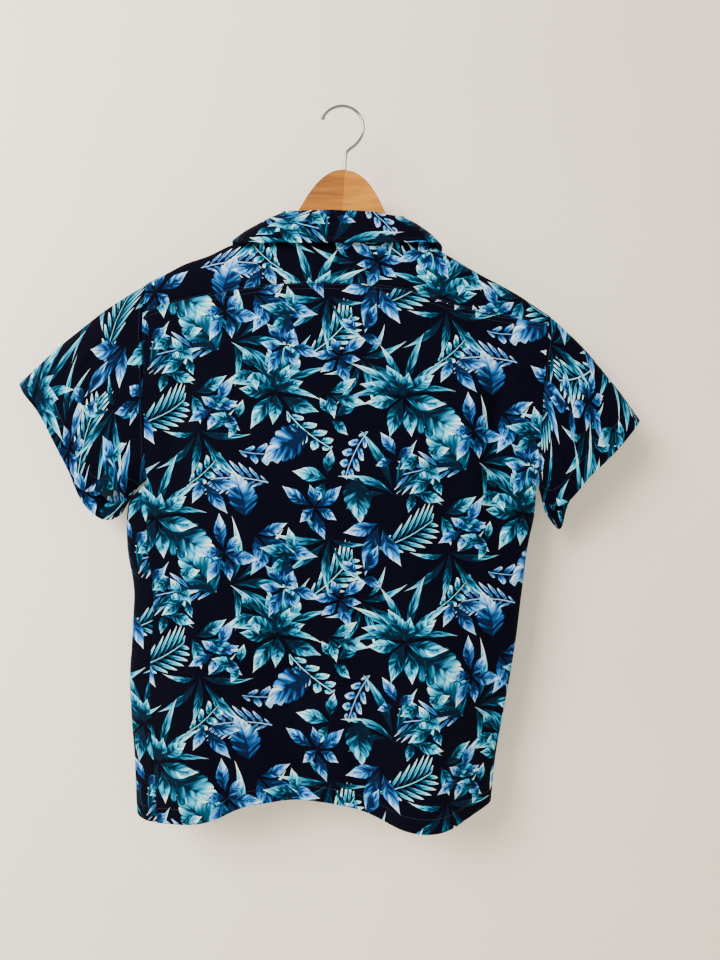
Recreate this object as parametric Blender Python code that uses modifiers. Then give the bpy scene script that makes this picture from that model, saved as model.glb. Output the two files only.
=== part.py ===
"""A short-sleeved camp shirt on a flat wooden hanger, seen as it hangs from its hook.

Metres, +Z up.  The origin is the inside of the hook's crown, where a peg would carry it.
The shirt's back faces +Y and its buttoned fronts face -Y; the wearer's left is +X.
Every cloth piece is a sheet worked out on a grid and thickened to WALL.
"""
import math

import bmesh
import bpy
import numpy as np

# ---------------------------------------------------------------- driving sizes
WALL = 0.0015                 # thickness given to the cloth
SEAM_GAP = 0.0006             # air between two pieces at a seam
SIDE_SEAM_GAP = 0.016         # the same at the left side seam, as an angle of the ring
ARMHOLE_GAP = 0.0030          # the same between a sleeve and the body
EDGE_GAP = 0.0006             # half the air between back and front along a fold
ROWS_ABOVE = 11               # grid rows from the yoke down to the level of the underarms
ROWS_BELOW = 14               # and from there down to the hem
UNDERARM_LEVEL = -0.474
SHOULDER_COLUMNS = 8          # columns from the neck's corner to an armhole
NECK_COLUMNS = 6              # columns of a front from the middle to the neck's corner

NECK_HALF = 0.077             # half width of the neck opening
NECK_DEPTH = 0.0122           # half its depth, where the collar turns to face front or back
CENTRE_X = -0.002             # line of the spine, a little off the hook
YOKE_FRONT_DROP = 0.040       # how far the yoke comes down in front of the ridge
ARCH = 0.667                  # squareness of the cloth over the hanger
UNDERARM_LEFT = -0.470        # height of the bottom of each armhole
UNDERARM_RIGHT = -0.473
UNDERARM_CLEAR = 0.003        # the sleeve's own underarm ends this far above
UNDERARM_CLOSE = 0.030        # over this height the armhole draws in to its lowest point
WRAP_LEFT = 0.029             # the left front comes this far round onto the back
WRAP_DROP = 0.040             # over this drop below the armhole
PLACKET_HALF = 0.016          # half the overlap of the two fronts
PLACKET_STEP = 0.0034         # the upper front stands this far off the lower one
PLACKET_FLAT = 0.030          # out to this x, coming back over the next stretch
PLACKET_SLOPE = 0.040

WOOD_THICK = 0.012
WOOD_TILT = math.radians(2.9)  # the hanger hangs with its right arm low
WOOD_EDGE = 0.0022             # its eased edges
WIRE = 0.0036                  # hook wire diameter
HOOK_RADIUS = 0.027            # of the middle of the wire
HOOK_ENDS = (22, 212)          # turn of the hook's tip and of the end of its arc, degrees
HOOK_BEND = (0.016, 0.012)     # how stiffly the bend below leaves the arc and meets the stem
STEM_LENGTH = 0.017
STEM_GAP = 0.0004              # air between the stem and the wood

BUTTON_COUNT = 6
BUTTON_RADIUS = 0.0057
BUTTON_THICK = 0.0024
BUTTON_TOP = -0.262           # height of the first
BUTTON_PITCH = 0.098
BUTTON_GAP = 0.0009           # air between a button and the cloth

# The body at each height: x of its two edges, the depth of back and front from the
# middle plane, how deep the edge itself stays, and how square the fold there is.
BODY_COLUMNS = ("z", "left", "right", "mid", "back", "front", "edge", "fold")
BODY = (
    (-0.150, 0.244, -0.250, 0.000, 0.0150, 0.0135, 0.60, 1.00),
    (-0.225, 0.244, -0.250, 0.000, 0.0160, 0.0140, 0.60, 1.00),
    (-0.265, 0.2475, -0.2565, 0.000, 0.0170, 0.0150, 0.60, 1.00),
    (-0.330, 0.246, -0.251, 0.001, 0.0200, 0.0165, 0.60, 1.00),
    (-0.400, 0.244, -0.247, 0.002, 0.0235, 0.0180, 0.56, 1.00),
    (-0.450, 0.243, -0.244, 0.003, 0.0260, 0.0190, 0.42, 0.80),
    (-0.474, 0.246, -0.243, 0.003, 0.0270, 0.0195, 0.00, 0.50),
    (-0.490, 0.262, -0.242, 0.003, 0.0275, 0.0198, 0.00, 0.42),
    (-0.512, 0.268, -0.240, 0.003, 0.0280, 0.0200, 0.00, 0.39),
    (-0.545, 0.268, -0.233, 0.003, 0.0285, 0.0200, 0.00, 0.39),
    (-0.610, 0.260, -0.224, 0.003, 0.0290, 0.0205, 0.00, 0.39),
    (-0.650, 0.261, -0.219, 0.003, 0.0290, 0.0210, 0.00, 0.39),
    (-0.705, 0.264, -0.211, 0.003, 0.0290, 0.0220, 0.00, 0.39),
    (-0.764, 0.263, -0.200, 0.003, 0.0285, 0.0230, 0.00, 0.39),
    (-0.810, 0.259, -0.192, 0.003, 0.0280, 0.0235, 0.00, 0.39),
    (-0.900, 0.254, -0.182, 0.003, 0.0270, 0.0240, 0.00, 0.39),
)

# Heights of the lines that run across the shirt, at each x.
RIDGE = ((-0.262, -0.2655), (-0.220, -0.2360), (-0.196, -0.2235), (-0.172, -0.2110),
         (-0.152, -0.1995), (-0.123, -0.1815), (-0.100, -0.1665), (-0.085, -0.1580),
         (-0.072, -0.1515), (0.000, -0.1495), (0.072, -0.1490), (0.090, -0.1535), (0.120, -0.1680),
         (0.140, -0.1755), (0.164, -0.1865), (0.198, -0.1995), (0.220, -0.2110),
         (0.246, -0.2240))
RIDGE_NECK_RISE = 0.035       # the ridge is carried this far up across the open neck
RIDGE_NECK_HALF = 0.074
YOKE_SEAM = ((-0.262, -0.2750), (-0.163, -0.2583), (-0.132, -0.2497), (-0.090, -0.2360),
             (-0.051, -0.2300), (0.103, -0.2290), (0.152, -0.2370), (0.228, -0.2534),
             (0.262, -0.2660))
BACK_HEM = ((-0.190, -0.8640), (-0.161, -0.8760), (-0.134, -0.8860), (-0.104, -0.8890),
            (-0.075, -0.8880), (-0.040, -0.8780), (-0.015, -0.8700), (0.010, -0.8640),
            (0.037, -0.8615), (0.087, -0.8630), (0.124, -0.8680), (0.155, -0.8800),
            (0.210, -0.8850), (0.235, -0.8870), (0.262, -0.8780))
FRONT_HEM = ((-0.190, -0.8600), (-0.100, -0.8640), (0.000, -0.8500), (0.120, -0.8560),
             (0.215, -0.8830), (0.237, -0.8868), (0.262, -0.8800))

# Long soft folds, in the columns x_top, z_top, x_low, z_low of its line, half_width, height
# out and fade, the drop over which each end dies away.
BACK_FOLDS = (
    (0.213, -0.335, 0.209, -0.480, 0.014, -0.0060, 0.05),
    (0.190, -0.330, 0.186, -0.510, 0.016, 0.0030, 0.08),
    (-0.194, -0.310, -0.184, -0.550, 0.014, -0.0065, 0.06),
    (-0.168, -0.330, -0.160, -0.570, 0.017, 0.0030, 0.08),
    (-0.105, -0.520, -0.112, -1.160, 0.045, 0.0240, 0.27),
    (-0.030, -0.560, -0.022, -1.160, 0.030, -0.0080, 0.24),
    (0.055, -0.500, 0.060, -1.160, 0.050, -0.0120, 0.27),
    (0.185, -0.540, 0.190, -1.160, 0.038, 0.0110, 0.24),
    (0.110, -0.400, 0.118, -0.780, 0.022, 0.0035, 0.14),
    (-0.075, -0.340, -0.082, -0.660, 0.024, 0.0030, 0.14),
)
FRONT_FOLDS = (
    (0.200, -0.310, 0.190, -0.580, 0.018, 0.0050, 0.10),
    (-0.190, -0.310, -0.180, -0.580, 0.018, 0.0055, 0.10),
    (0.120, -0.480, 0.128, -1.160, 0.030, -0.0080, 0.24),
    (-0.090, -0.500, -0.098, -1.160, 0.034, -0.0090, 0.24),
    (0.040, -0.580, 0.050, -1.160, 0.028, 0.0060, 0.24),
)

# Rings of the sleeve hems, from the top corner down the back and up the front.
SLEEVE_COLUMNS = ("share", "x", "y", "z")
SLEEVE_HEM_LEFT = (
    (0.00, 0.405, 0.000, -0.3475), (0.05, 0.396, 0.009, -0.3590),
    (0.13, 0.378, 0.014, -0.3800), (0.27, 0.346, 0.018, -0.4370),
    (0.37, 0.319, 0.019, -0.4800), (0.43, 0.298, 0.016, -0.4810),
    (0.47, 0.280, 0.009, -0.4800), (0.50, 0.272, 0.000, -0.4900),
    (0.54, 0.278, -0.008, -0.5080), (0.60, 0.303, -0.011, -0.5180),
    (0.65, 0.326, -0.014, -0.5020), (0.74, 0.352, -0.016, -0.4500),
    (0.87, 0.382, -0.014, -0.3900), (1.00, 0.405, 0.000, -0.3475),
)
SLEEVE_HEM_RIGHT = (
    (0.00, -0.374, 0.000, -0.3930), (0.06, -0.366, 0.009, -0.4010),
    (0.16, -0.341, 0.013, -0.4310), (0.28, -0.308, 0.016, -0.4620),
    (0.40, -0.279, 0.013, -0.4950), (0.46, -0.267, 0.006, -0.5000),
    (0.50, -0.254, 0.000, -0.4960), (0.54, -0.258, -0.007, -0.5090),
    (0.58, -0.275, -0.010, -0.5300), (0.63, -0.286, -0.013, -0.5010),
    (0.74, -0.312, -0.016, -0.4650), (0.87, -0.345, -0.014, -0.4300),
    (1.00, -0.374, 0.000, -0.3930),
)
SLEEVE_BULGE = 0.006          # how far the middle of the sleeve stands above a straight line
SLEEVE_PUFF = 0.004           # how far its two faces swell

# The yoke's neck line: share of the neck's half width, and turn over the hanger in degrees.
NECK = ((0.00, 26), (0.45, 28), (0.70, 34), (0.84, 46), (0.93, 66), (0.965, 90),
        (0.985, 125), (1.00, 180))
FRONT_NECK_DEPTH = -0.236     # lowest point of the neck in front

# The collar at stations from the nape to its point: height of the stand above the neck
# seam, lean of its fold and swell of its fall, then the fall's outer edge on each side.
COLLAR_COLUMNS = ("share", "stand", "lean", "belly", "left_x", "left_y", "left_z",
                  "right_x", "right_y", "right_z")
COLLAR = (
    (0.00, 0.0240, 0.0020, 0.0015, -0.002, 0.0235, -0.1775, -0.002, 0.0235, -0.1775),
    (0.12, 0.0240, 0.0020, 0.0015, 0.040, 0.0235, -0.1775, -0.040, 0.0235, -0.1775),
    (0.26, 0.0210, 0.0025, 0.0020, 0.090, 0.0225, -0.1770, -0.078, 0.0235, -0.1770),
    (0.34, 0.0140, 0.0030, 0.0030, 0.124, 0.0180, -0.1765, -0.104, 0.0235, -0.1765),
    (0.42, 0.0105, 0.0035, 0.0045, 0.137, 0.0020, -0.1678, -0.123, 0.0100, -0.1750),
    (0.52, 0.0095, 0.0045, 0.0060, 0.137, -0.0185, -0.1805, -0.126, -0.0180, -0.1850),
    (0.74, 0.0060, 0.0045, 0.0035, 0.112, -0.0225, -0.2300, -0.112, -0.0225, -0.2300),
    (1.00, 0.0030, 0.0045, 0.0010, 0.066, -0.0260, -0.2850, -0.066, -0.0260, -0.2850),
)
COLLAR_ROLL = 0.0024          # radius of the collar's fold
COLLAR_INSET = 0.0019         # the stand rises this far inside the neck seam
COLLAR_LIFT = 0.0014          # and starts this far above it

# The wooden hanger, right half of its outline before it is tilted: x out from the middle
# and the heights of its upper and lower edges.
WOOD_COLUMNS = ("x", "upper", "lower")
WOOD = (
    (0.0003, -0.0800, -0.1700), (0.014, -0.0830, -0.1705), (0.028, -0.0925, -0.1720),
    (0.040, -0.1070, -0.1745), (0.050, -0.1240, -0.1780), (0.058, -0.1400, -0.1815),
    (0.066, -0.1520, -0.1855), (0.076, -0.1605, -0.1900), (0.090, -0.1655, -0.1965),
    (0.110, -0.1745, -0.2050), (0.140, -0.1895, -0.2180), (0.170, -0.2050, -0.2310),
    (0.197, -0.2178, -0.2430), (0.211, -0.2255, -0.2490), (0.2175, -0.2325, -0.2475),
)
HANGER_CENTRE = -0.0036       # x of the hanger's middle at its own top
WOOD_TOP = -0.0800


# ---------------------------------------------------------------- helpers
def clear_scene():
    for obj in list(bpy.data.objects):
        bpy.data.objects.remove(obj, do_unlink=True)


def column(table, names, name):
    """One named column of a table as an array."""
    return np.array([row[names.index(name)] for row in table], dtype=float)


def smooth(xs, ys, x):
    """A smooth curve through the points (xs, ys): cubic pieces whose slopes are the
    mean of the slopes on each side, held flat beyond the ends."""
    xs, ys = np.asarray(xs, float), np.asarray(ys, float)
    step = np.diff(xs)
    rise = np.diff(ys) / step
    slope = np.empty_like(ys)
    slope[1:-1] = (rise[:-1] * step[1:] + rise[1:] * step[:-1]) / (step[1:] + step[:-1])
    slope[0], slope[-1] = rise[0], rise[-1]
    x = np.clip(x, xs[0], xs[-1])
    i = np.clip(np.searchsorted(xs, x) - 1, 0, len(xs) - 2)
    t = (x - xs[i]) / step[i]
    a = ys[i] * (1 + 2 * t) * (1 - t) ** 2 + slope[i] * step[i] * t * (1 - t) ** 2
    b = ys[i + 1] * t ** 2 * (3 - 2 * t) - slope[i + 1] * step[i] * t ** 2 * (1 - t)
    return a + b


def line_height(points, x):
    """Height of one of the lines across the shirt at x."""
    xs, zs = zip(*points)
    return smooth(xs, zs, x)


def body_at(name, z):
    """A column of the BODY table at height z."""
    heights = column(BODY, BODY_COLUMNS, "z")[::-1]
    return smooth(heights, column(BODY, BODY_COLUMNS, name)[::-1], z)


def ridge(x):
    """Top of the shoulders; across the neck it is carried up to shape the nape."""
    inside = np.clip(1 - (np.abs(x) / RIDGE_NECK_HALF) ** 2, 0, 1)
    return line_height(RIDGE, x) + RIDGE_NECK_RISE * inside


def folds(table, x, z):
    """Sum of the soft folds: each is a bell across its line, faded at both ends."""
    out = np.zeros(np.broadcast(x, z).shape)
    for x_top, z_top, x_low, z_low, half_width, height, fade in table:
        down = np.clip((z_top - z) / (z_top - z_low), 0, 1)
        centre = x_top + (x_low - x_top) * down
        show = np.clip((z_top - z) / fade, 0, 1) * np.clip((z - z_low) / fade, 0, 1)
        show = show * show * (3 - 2 * show)
        out = out + height * show * np.exp(-((x - centre) / half_width) ** 2)
    return out


def depth_share(across, z):
    """Depth of the flattened body as a share of its greatest: 1 in the middle, falling
    as (1 - |across| ** 2.6) ** fold towards the edges at across = -1 and 1."""
    edge, fold = body_at("edge", z), np.clip(body_at("fold", z), 0.385, 1)
    edge = np.clip(edge, 0, 1)
    return edge + (1 - edge) * np.clip(1 - np.abs(across) ** 2.6, 0, 1) ** fold


def body_ring(angle, z, side):
    """Point of the flattened body.  Seen from above the angle runs from 0 at the middle of
    the front to 90 degrees at the left fold, 180 at the spine and 270 (or -90) at the right
    fold; side is 1 for points on the back and -1 for points on the front."""
    across = np.sin(angle)
    left, right = body_at("left", z), body_at("right", z)
    x = (left + right) / 2 + (left - right) / 2 * across
    share = depth_share(across, z)
    rim = np.clip(share * 3, 0, 1)
    back = body_at("back", z) * share + folds(BACK_FOLDS, x, z) * rim + EDGE_GAP
    front = body_at("front", z) * share + folds(FRONT_FOLDS, x, z) * rim + EDGE_GAP
    y = body_at("mid", z) + np.where(side > 0, back, -front)
    return np.stack([x, y, z + 0 * x], axis=-1)


def ring_angle(x, z):
    """Angle on the front half of the ring at which the body reaches x at height z."""
    left, right = body_at("left", z), body_at("right", z)
    return np.arcsin(np.clip((2 * x - left - right) / (left - right), -1, 1))


def left_seam_angle(z):
    """Angle of the left side seam: at the fold beside the armhole, round on the back below."""
    down = np.clip((UNDERARM_LEFT - z) / WRAP_DROP, 0, 1)
    wrap = WRAP_LEFT * down * down * (3 - 2 * down)
    width = body_at("left", z) - body_at("right", z)
    return math.pi - np.arcsin(1 - 2 * wrap / width)


def panel(angles, top_line, low_line, side_of):
    """Grid of a body panel.  angles(z) gives each column's angle at its own height z.  The
    heights run from top_line(x) to the underarms' level and on to low_line(x), settled in
    a few rounds, so that neighbouring panels have their rows at the same heights."""
    count, rows = len(angles(None)), ROWS_ABOVE + ROWS_BELOW
    z = np.repeat(np.linspace(YOKE_SEAM[0][1], BACK_HEM[0][1], rows)[:, None], count, axis=1)
    above = np.linspace(0, 1, ROWS_ABOVE)[:, None]
    below = np.linspace(0, 1, ROWS_BELOW + 1)[1:, None]
    for _ in range(6):
        angle = np.stack([np.broadcast_to(a, rows) for a in angles(z)], axis=1)
        points = body_ring(angle, z, side_of(angle))
        top, low = top_line(points[0, :, 0]), low_line(points[-1, :, 0])
        z = np.concatenate([top + (UNDERARM_LEVEL - top) * above,
                            UNDERARM_LEVEL + (low - UNDERARM_LEVEL) * below])
    return points


def material(name, colour, roughness, metallic=0.0):
    mat = bpy.data.materials.new(name)
    mat.use_nodes = True
    shader = mat.node_tree.nodes["Principled BSDF"]
    shader.inputs["Base Color"].default_value = (*colour, 1)
    shader.inputs["Roughness"].default_value = roughness
    shader.inputs["Metallic"].default_value = metallic
    return mat


def add_object(name, mesh, mat):
    obj = bpy.data.objects.new(name, mesh)
    mesh.materials.append(mat)
    SHIRT.objects.link(obj)
    return obj


def sheet(name, points, mat, closed=False, wall=WALL):
    """A cloth piece: a grid whose vertices take the given points, thickened by wall."""
    rows, columns = points.shape[:2]
    bm = bmesh.new()
    bmesh.ops.create_grid(bm, x_segments=columns - 1, y_segments=rows - 1, size=1)
    for vert, point in zip(bm.verts, points.reshape(-1, 3)):
        vert.co = point
    if closed:
        bmesh.ops.remove_doubles(bm, verts=bm.verts, dist=0.00005)
    mesh = bpy.data.meshes.new(name)
    bm.to_mesh(mesh)
    bm.free()
    mesh.shade_smooth()
    obj = add_object(name, mesh, mat)
    solid = obj.modifiers.new("cloth", "SOLIDIFY")
    solid.thickness = wall
    solid.offset = 0
    return obj


# ---------------------------------------------------------------- cloth pieces
def arch(points_low, points_top, turn):
    """Points that climb from the seam to the ridge as the turn goes from 0 to 90 degrees
    and come down again beyond it, on a squared arch."""
    rise = np.sin(turn) ** ARCH
    lean = np.abs(np.cos(turn)) ** ARCH
    x = points_low[..., 0] + (points_top[..., 0] - points_low[..., 0]) * rise
    y = points_top[..., 1] + (points_low[..., 1] - points_top[..., 1]) * lean
    z = points_low[..., 2] + (points_top[..., 2] - points_low[..., 2]) * rise
    return np.stack([x, y, z], axis=-1)


def shoulder_lines(angle, drop=SEAM_GAP / 2):
    """Back seam, ridge and front seam of the yoke at front-ring angles."""
    lines = []
    for line, side in ((lambda x: line_height(YOKE_SEAM, x) + drop, 1), (ridge, 0),
                       (lambda x: ridge(x) - YOKE_FRONT_DROP + drop, -1)):
        z = np.full_like(angle, -0.24)
        for _ in range(6):
            points = body_ring(angle, z, side or 1)
            z = line(points[:, 0])
        points[:, 2] = z
        if side == 0:
            points[:, 1] = body_at("mid", z)
        lines.append(points)
    return lines


def yoke_points(angle, turn):
    """Points of the yoke: turn 0 is its back seam, 90 degrees the ridge, 180 the front seam.
    angle has one value a column, turn one row of values for each grid row."""
    back, top, front = shoulder_lines(angle)
    behind = arch(back[None], top[None], np.minimum(turn, math.pi / 2))
    before = arch(front[None], top[None], math.pi - np.maximum(turn, math.pi / 2))
    return np.where((turn <= math.pi / 2)[..., None], behind, before)


def yoke_columns():
    """Angles of the yoke's columns and the turn at which each ends."""
    share, degrees = np.array(NECK).T
    neck = ring_angle(CENTRE_X + NECK_HALF * share, -0.16)
    neck_right = ring_angle(CENTRE_X - NECK_HALF * share, -0.16)
    left = np.linspace(neck[-1], math.pi / 2, SHOULDER_COLUMNS + 1)[1:]
    right = np.linspace(neck_right[-1], -math.pi / 2, SHOULDER_COLUMNS + 1)[1:]
    angle = np.concatenate([right[::-1], neck_right[:0:-1], neck, left])
    ends = np.concatenate([degrees[:0:-1], degrees])
    full = np.full(SHOULDER_COLUMNS, 180)
    return angle, np.radians(np.concatenate([full, ends, full]))


def yoke_grid(rows=9):
    angle, end = yoke_columns()
    turn = end[None, :] * np.linspace(0, 1, rows)[:, None]
    return yoke_points(angle, turn)


def front_top(x):
    """Top line of the fronts: the shoulder seam, then the neck curve, a quarter ellipse."""
    corner = ridge(CENTRE_X + np.sign(x - CENTRE_X) * NECK_HALF) - YOKE_FRONT_DROP
    reach = np.clip(np.abs(x - CENTRE_X) / NECK_HALF, 0, 1)
    neck = FRONT_NECK_DEPTH + (corner - FRONT_NECK_DEPTH) * (1 - np.sqrt(1 - reach ** 2))
    shoulder = ridge(x) - YOKE_FRONT_DROP
    return np.where(reach < 1, neck, shoulder) - SEAM_GAP / 2


def back_panel_grid(middle_columns=8):
    """The back, with the yoke's own columns on the shoulders and even ones between."""
    side = np.linspace(0, 1, SHOULDER_COLUMNS + 1)
    middle = np.linspace(0, 1, middle_columns + 1)[1:-1]

    def angles(z):
        if z is None:
            return np.zeros(2 * len(side) + len(middle))
        start = left_seam_angle(z[:, 0]) + SIDE_SEAM_GAP
        left = math.pi - ring_angle(CENTRE_X + NECK_HALF, z[:, 0])
        right = math.pi - ring_angle(CENTRE_X - NECK_HALF, z[:, 0])
        end = 1.5 * math.pi
        return ([start + (left - start) * s for s in side]
                + [left + (right - left) * s for s in middle]
                + [right + (end - right) * s for s in side])

    return panel(angles, lambda x: line_height(YOKE_SEAM, x) - SEAM_GAP / 2,
                 lambda x: line_height(BACK_HEM, x), np.ones_like)


def front_grid(hand):
    """Grid of one front; hand is 1 for the wearer's left and -1 for the right."""
    lap = CENTRE_X - hand * PLACKET_HALF
    reach = NECK_HALF * np.sin(np.linspace(0.12, math.pi / 2, NECK_COLUMNS))
    inner = np.concatenate([[lap], CENTRE_X + hand * reach])
    share = np.linspace(0, 1, SHOULDER_COLUMNS + 1)[1:]

    def angles(z):
        if z is None:
            return np.zeros(len(inner) + SHOULDER_COLUMNS)
        near = [ring_angle(x, z[:, 0]) for x in inner]
        if hand > 0:
            end = left_seam_angle(z[:, -1])
        else:
            end = np.full(len(z), -math.pi / 2)
        return near + [near[-1] + (end - near[-1]) * s for s in share]

    def side_of(angle):
        return np.where(angle > math.pi / 2 + 0.0001, 1, -1)

    points = panel(angles, front_top, lambda x: line_height(FRONT_HEM, x), side_of)
    if hand > 0:
        near = np.clip((PLACKET_FLAT - points[..., 0]) / PLACKET_SLOPE + 1, 0, 1)
        points[..., 1] -= PLACKET_STEP * near * near * (3 - 2 * near)
    return points


def resample(points, count):
    """count points evenly spaced along a polyline."""
    step = np.linalg.norm(np.diff(points, axis=0), axis=1)
    along = np.concatenate([[0], np.cumsum(step)])
    at = np.linspace(0, along[-1], count)
    return np.stack([np.interp(at, along, points[:, i]) for i in range(3)], axis=1)


def armhole_ring(hand, half):
    """Closed ring just outside an armhole: from the ridge down the back to the underarm
    and up the front again, with half steps each way."""
    edge = np.array([hand * math.pi / 2])
    underarm = (UNDERARM_LEFT if hand > 0 else UNDERARM_RIGHT) + UNDERARM_CLEAR
    back, top, front = shoulder_lines(edge, drop=0)
    turn = np.linspace(math.pi / 2, 0, 12)
    sides = []
    for seam, side in ((back, 1), (front, -1)):
        over = arch(seam, top, turn)
        z = np.linspace(seam[0, 2], underarm, 40)[1:]
        down = body_ring(np.full_like(z, edge[0]), z, side)
        line = np.concatenate([over, down])
        close = np.clip((z[-1] - line[:, 2]) / UNDERARM_CLOSE + 1, 0, 1)
        line[:, 1] += (body_at("mid", underarm) - line[:, 1]) * close ** 3
        sides.append(resample(line, half + 1))
    ring = np.concatenate([sides[0], sides[1][-2::-1]])
    ring[:, 0] += hand * ARMHOLE_GAP
    return ring


def hem_ring(table, half):
    share = column(table, SLEEVE_COLUMNS, "share")
    at = np.linspace(0, 1, 2 * half + 1)
    return np.stack([smooth(share, column(table, SLEEVE_COLUMNS, axis), at)
                     for axis in ("x", "y", "z")], axis=1)


def sleeve_grid(hand, half=14, rows=8):
    """A flattened tube from the armhole ring to the hem ring, its upper line bowed up and
    its two faces a little swollen."""
    inner = armhole_ring(hand, half)
    outer = hem_ring(SLEEVE_HEM_LEFT if hand > 0 else SLEEVE_HEM_RIGHT, half)
    along = np.linspace(0, 1, rows)[:, None, None]
    points = inner[None] + (outer - inner)[None] * along
    bow = np.sin(math.pi * along[..., 0])
    round_share = np.linspace(0, 2 * math.pi, 2 * half + 1)[None, :]
    top = np.clip(np.cos(round_share), 0, 1) ** 4
    points[..., 2] += SLEEVE_BULGE * bow * top
    points[..., 0] += hand * SLEEVE_BULGE * 0.6 * bow * top
    points[..., 1] += SLEEVE_PUFF * bow * np.sin(round_share)
    return points


def neck_line(hand, yoke, front):
    """Seam line of the neck on one side, from the nape to the front: the yoke's neck edge,
    then the front's."""
    nape = SHOULDER_COLUMNS + len(NECK) - 1
    back = yoke[-1][nape::hand][:len(NECK)]
    return np.concatenate([back, front[0][NECK_COLUMNS - 1:0:-1]])


def collar_grid(yoke, fronts, stations=20):
    """The collar from one point round the nape to the other.  Each section climbs inside
    the neck seam, rolls over and falls outside to its edge."""
    share = column(COLLAR, COLLAR_COLUMNS, "share")
    halves = []
    for hand, label in ((-1, "right"), (1, "left")):
        at = np.linspace(0, 1, stations)
        seam = resample(neck_line(hand, yoke, fronts[hand]), stations)
        centre = np.array([CENTRE_X, 0.0])
        edge = np.stack([smooth(share, column(COLLAR, COLLAR_COLUMNS, f"{label}_{axis}"), at)
                         for axis in "xyz"], axis=1)
        stand = smooth(share, column(COLLAR, COLLAR_COLUMNS, "stand"), at)
        lean = smooth(share, column(COLLAR, COLLAR_COLUMNS, "lean"), at)
        belly = smooth(share, column(COLLAR, COLLAR_COLUMNS, "belly"), at)
        facing = np.arcsin(np.clip(seam[:, 1] / NECK_DEPTH, -1, 1))
        out = np.stack([hand * np.cos(facing), np.sin(facing), 0 * facing], axis=1)
        up = np.array([0, 0, 1.0])
        inward = seam[:, :2] - centre
        inward /= np.linalg.norm(inward, axis=1)[:, None]
        base = seam - np.concatenate([inward, np.zeros((stations, 1))], axis=1) * COLLAR_INSET
        base = base + up * COLLAR_LIFT
        fold = base + up * stand[:, None] + out * lean[:, None]
        roll_in = fold - out * COLLAR_ROLL - up * COLLAR_ROLL
        roll_out = fold + out * COLLAR_ROLL - up * COLLAR_ROLL
        swell = (out + up) * belly[:, None]
        upper = roll_out * 0.68 + edge * 0.32 + swell * 0.8
        lower = roll_out * 0.32 + edge * 0.68 + swell * 0.8
        halves.append(np.stack([base, roll_in, fold, roll_out, upper, lower, edge]))
    right, left = halves
    return np.concatenate([right[:, :0:-1], left], axis=1)


# ---------------------------------------------------------------- hard pieces
def place_on_hanger(x, z):
    """Hanger-local x and height to the world: turned by the tilt about its own top."""
    high = z - WOOD_TOP
    world_x = HANGER_CENTRE + x * math.cos(WOOD_TILT) - high * math.sin(WOOD_TILT)
    world_z = WOOD_TOP + x * math.sin(WOOD_TILT) + high * math.cos(WOOD_TILT)
    return world_x, world_z


def hanger_half(name, hand, mat):
    """One glued half of the hanger: a filled outline as thick as the wood, edges eased."""
    x = column(WOOD, WOOD_COLUMNS, "x")
    at = np.linspace(x[0], x[-1], 34)
    upper = smooth(x, column(WOOD, WOOD_COLUMNS, "upper"), at)
    lower = smooth(x, column(WOOD, WOOD_COLUMNS, "lower"), at)
    outline = [place_on_hanger(hand * a, b) for a, b in zip(at, upper)]
    outline += [place_on_hanger(hand * a, b) for a, b in zip(at[::-1], lower[::-1])]
    curve = bpy.data.curves.new(name, "CURVE")
    curve.dimensions = "2D"
    curve.fill_mode = "BOTH"
    curve.extrude = WOOD_THICK / 2
    spline = curve.splines.new("POLY")
    spline.points.add(len(outline) - 1)
    for point, (px, pz) in zip(spline.points, outline):
        point.co = (px, pz, 0, 1)
    spline.use_cyclic_u = True
    obj = bpy.data.objects.new(name, curve)
    obj.rotation_euler = (math.pi / 2, 0, 0)
    curve.materials.append(mat)
    SHIRT.objects.link(obj)
    weld = obj.modifiers.new("weld", "WELD")
    weld.merge_threshold = 0.00002
    ease = obj.modifiers.new("eased edges", "BEVEL")
    ease.width = WOOD_EDGE
    ease.segments = 2
    ease.limit_method = "ANGLE"
    ease.angle_limit = math.radians(60)
    return obj


def hook_path():
    """The wire's middle line: an arc over the crown, an S bend, then the straight stem."""
    middle = np.array([0.0, WIRE / 2 - HOOK_RADIUS])
    turn = np.radians(np.linspace(*HOOK_ENDS, 26))
    arc = middle + HOOK_RADIUS * np.stack([np.cos(turn), np.sin(turn)], axis=1)
    along = np.array([-math.sin(WOOD_TILT), math.cos(WOOD_TILT)])
    foot = np.array([HANGER_CENTRE, WOOD_TOP + STEM_GAP])
    start, end = arc[-1], foot + along * STEM_LENGTH
    leave = np.array([-math.sin(turn[-1]), math.cos(turn[-1])]) * HOOK_BEND[0]
    t = np.linspace(0, 1, 12)[1:, None]
    bend = ((1 - t) ** 3 * start + 3 * (1 - t) ** 2 * t * (start + leave)
            + 3 * (1 - t) * t ** 2 * (end + along * HOOK_BEND[1]) + t ** 3 * end)
    stem = foot + along * STEM_LENGTH * np.linspace(1, 0, 4)[1:, None]
    return np.concatenate([arc, bend, stem])


def hanger_hook(mat):
    curve = bpy.data.curves.new("hanger_hook", "CURVE")
    curve.dimensions = "3D"
    curve.bevel_depth = WIRE / 2
    curve.bevel_resolution = 2
    curve.use_fill_caps = True
    path = hook_path()
    spline = curve.splines.new("POLY")
    spline.points.add(len(path) - 1)
    for point, (px, pz) in zip(spline.points, path):
        point.co = (px, 0, pz, 1)
    obj = bpy.data.objects.new("hanger_hook", curve)
    curve.materials.append(mat)
    SHIRT.objects.link(obj)


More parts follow.
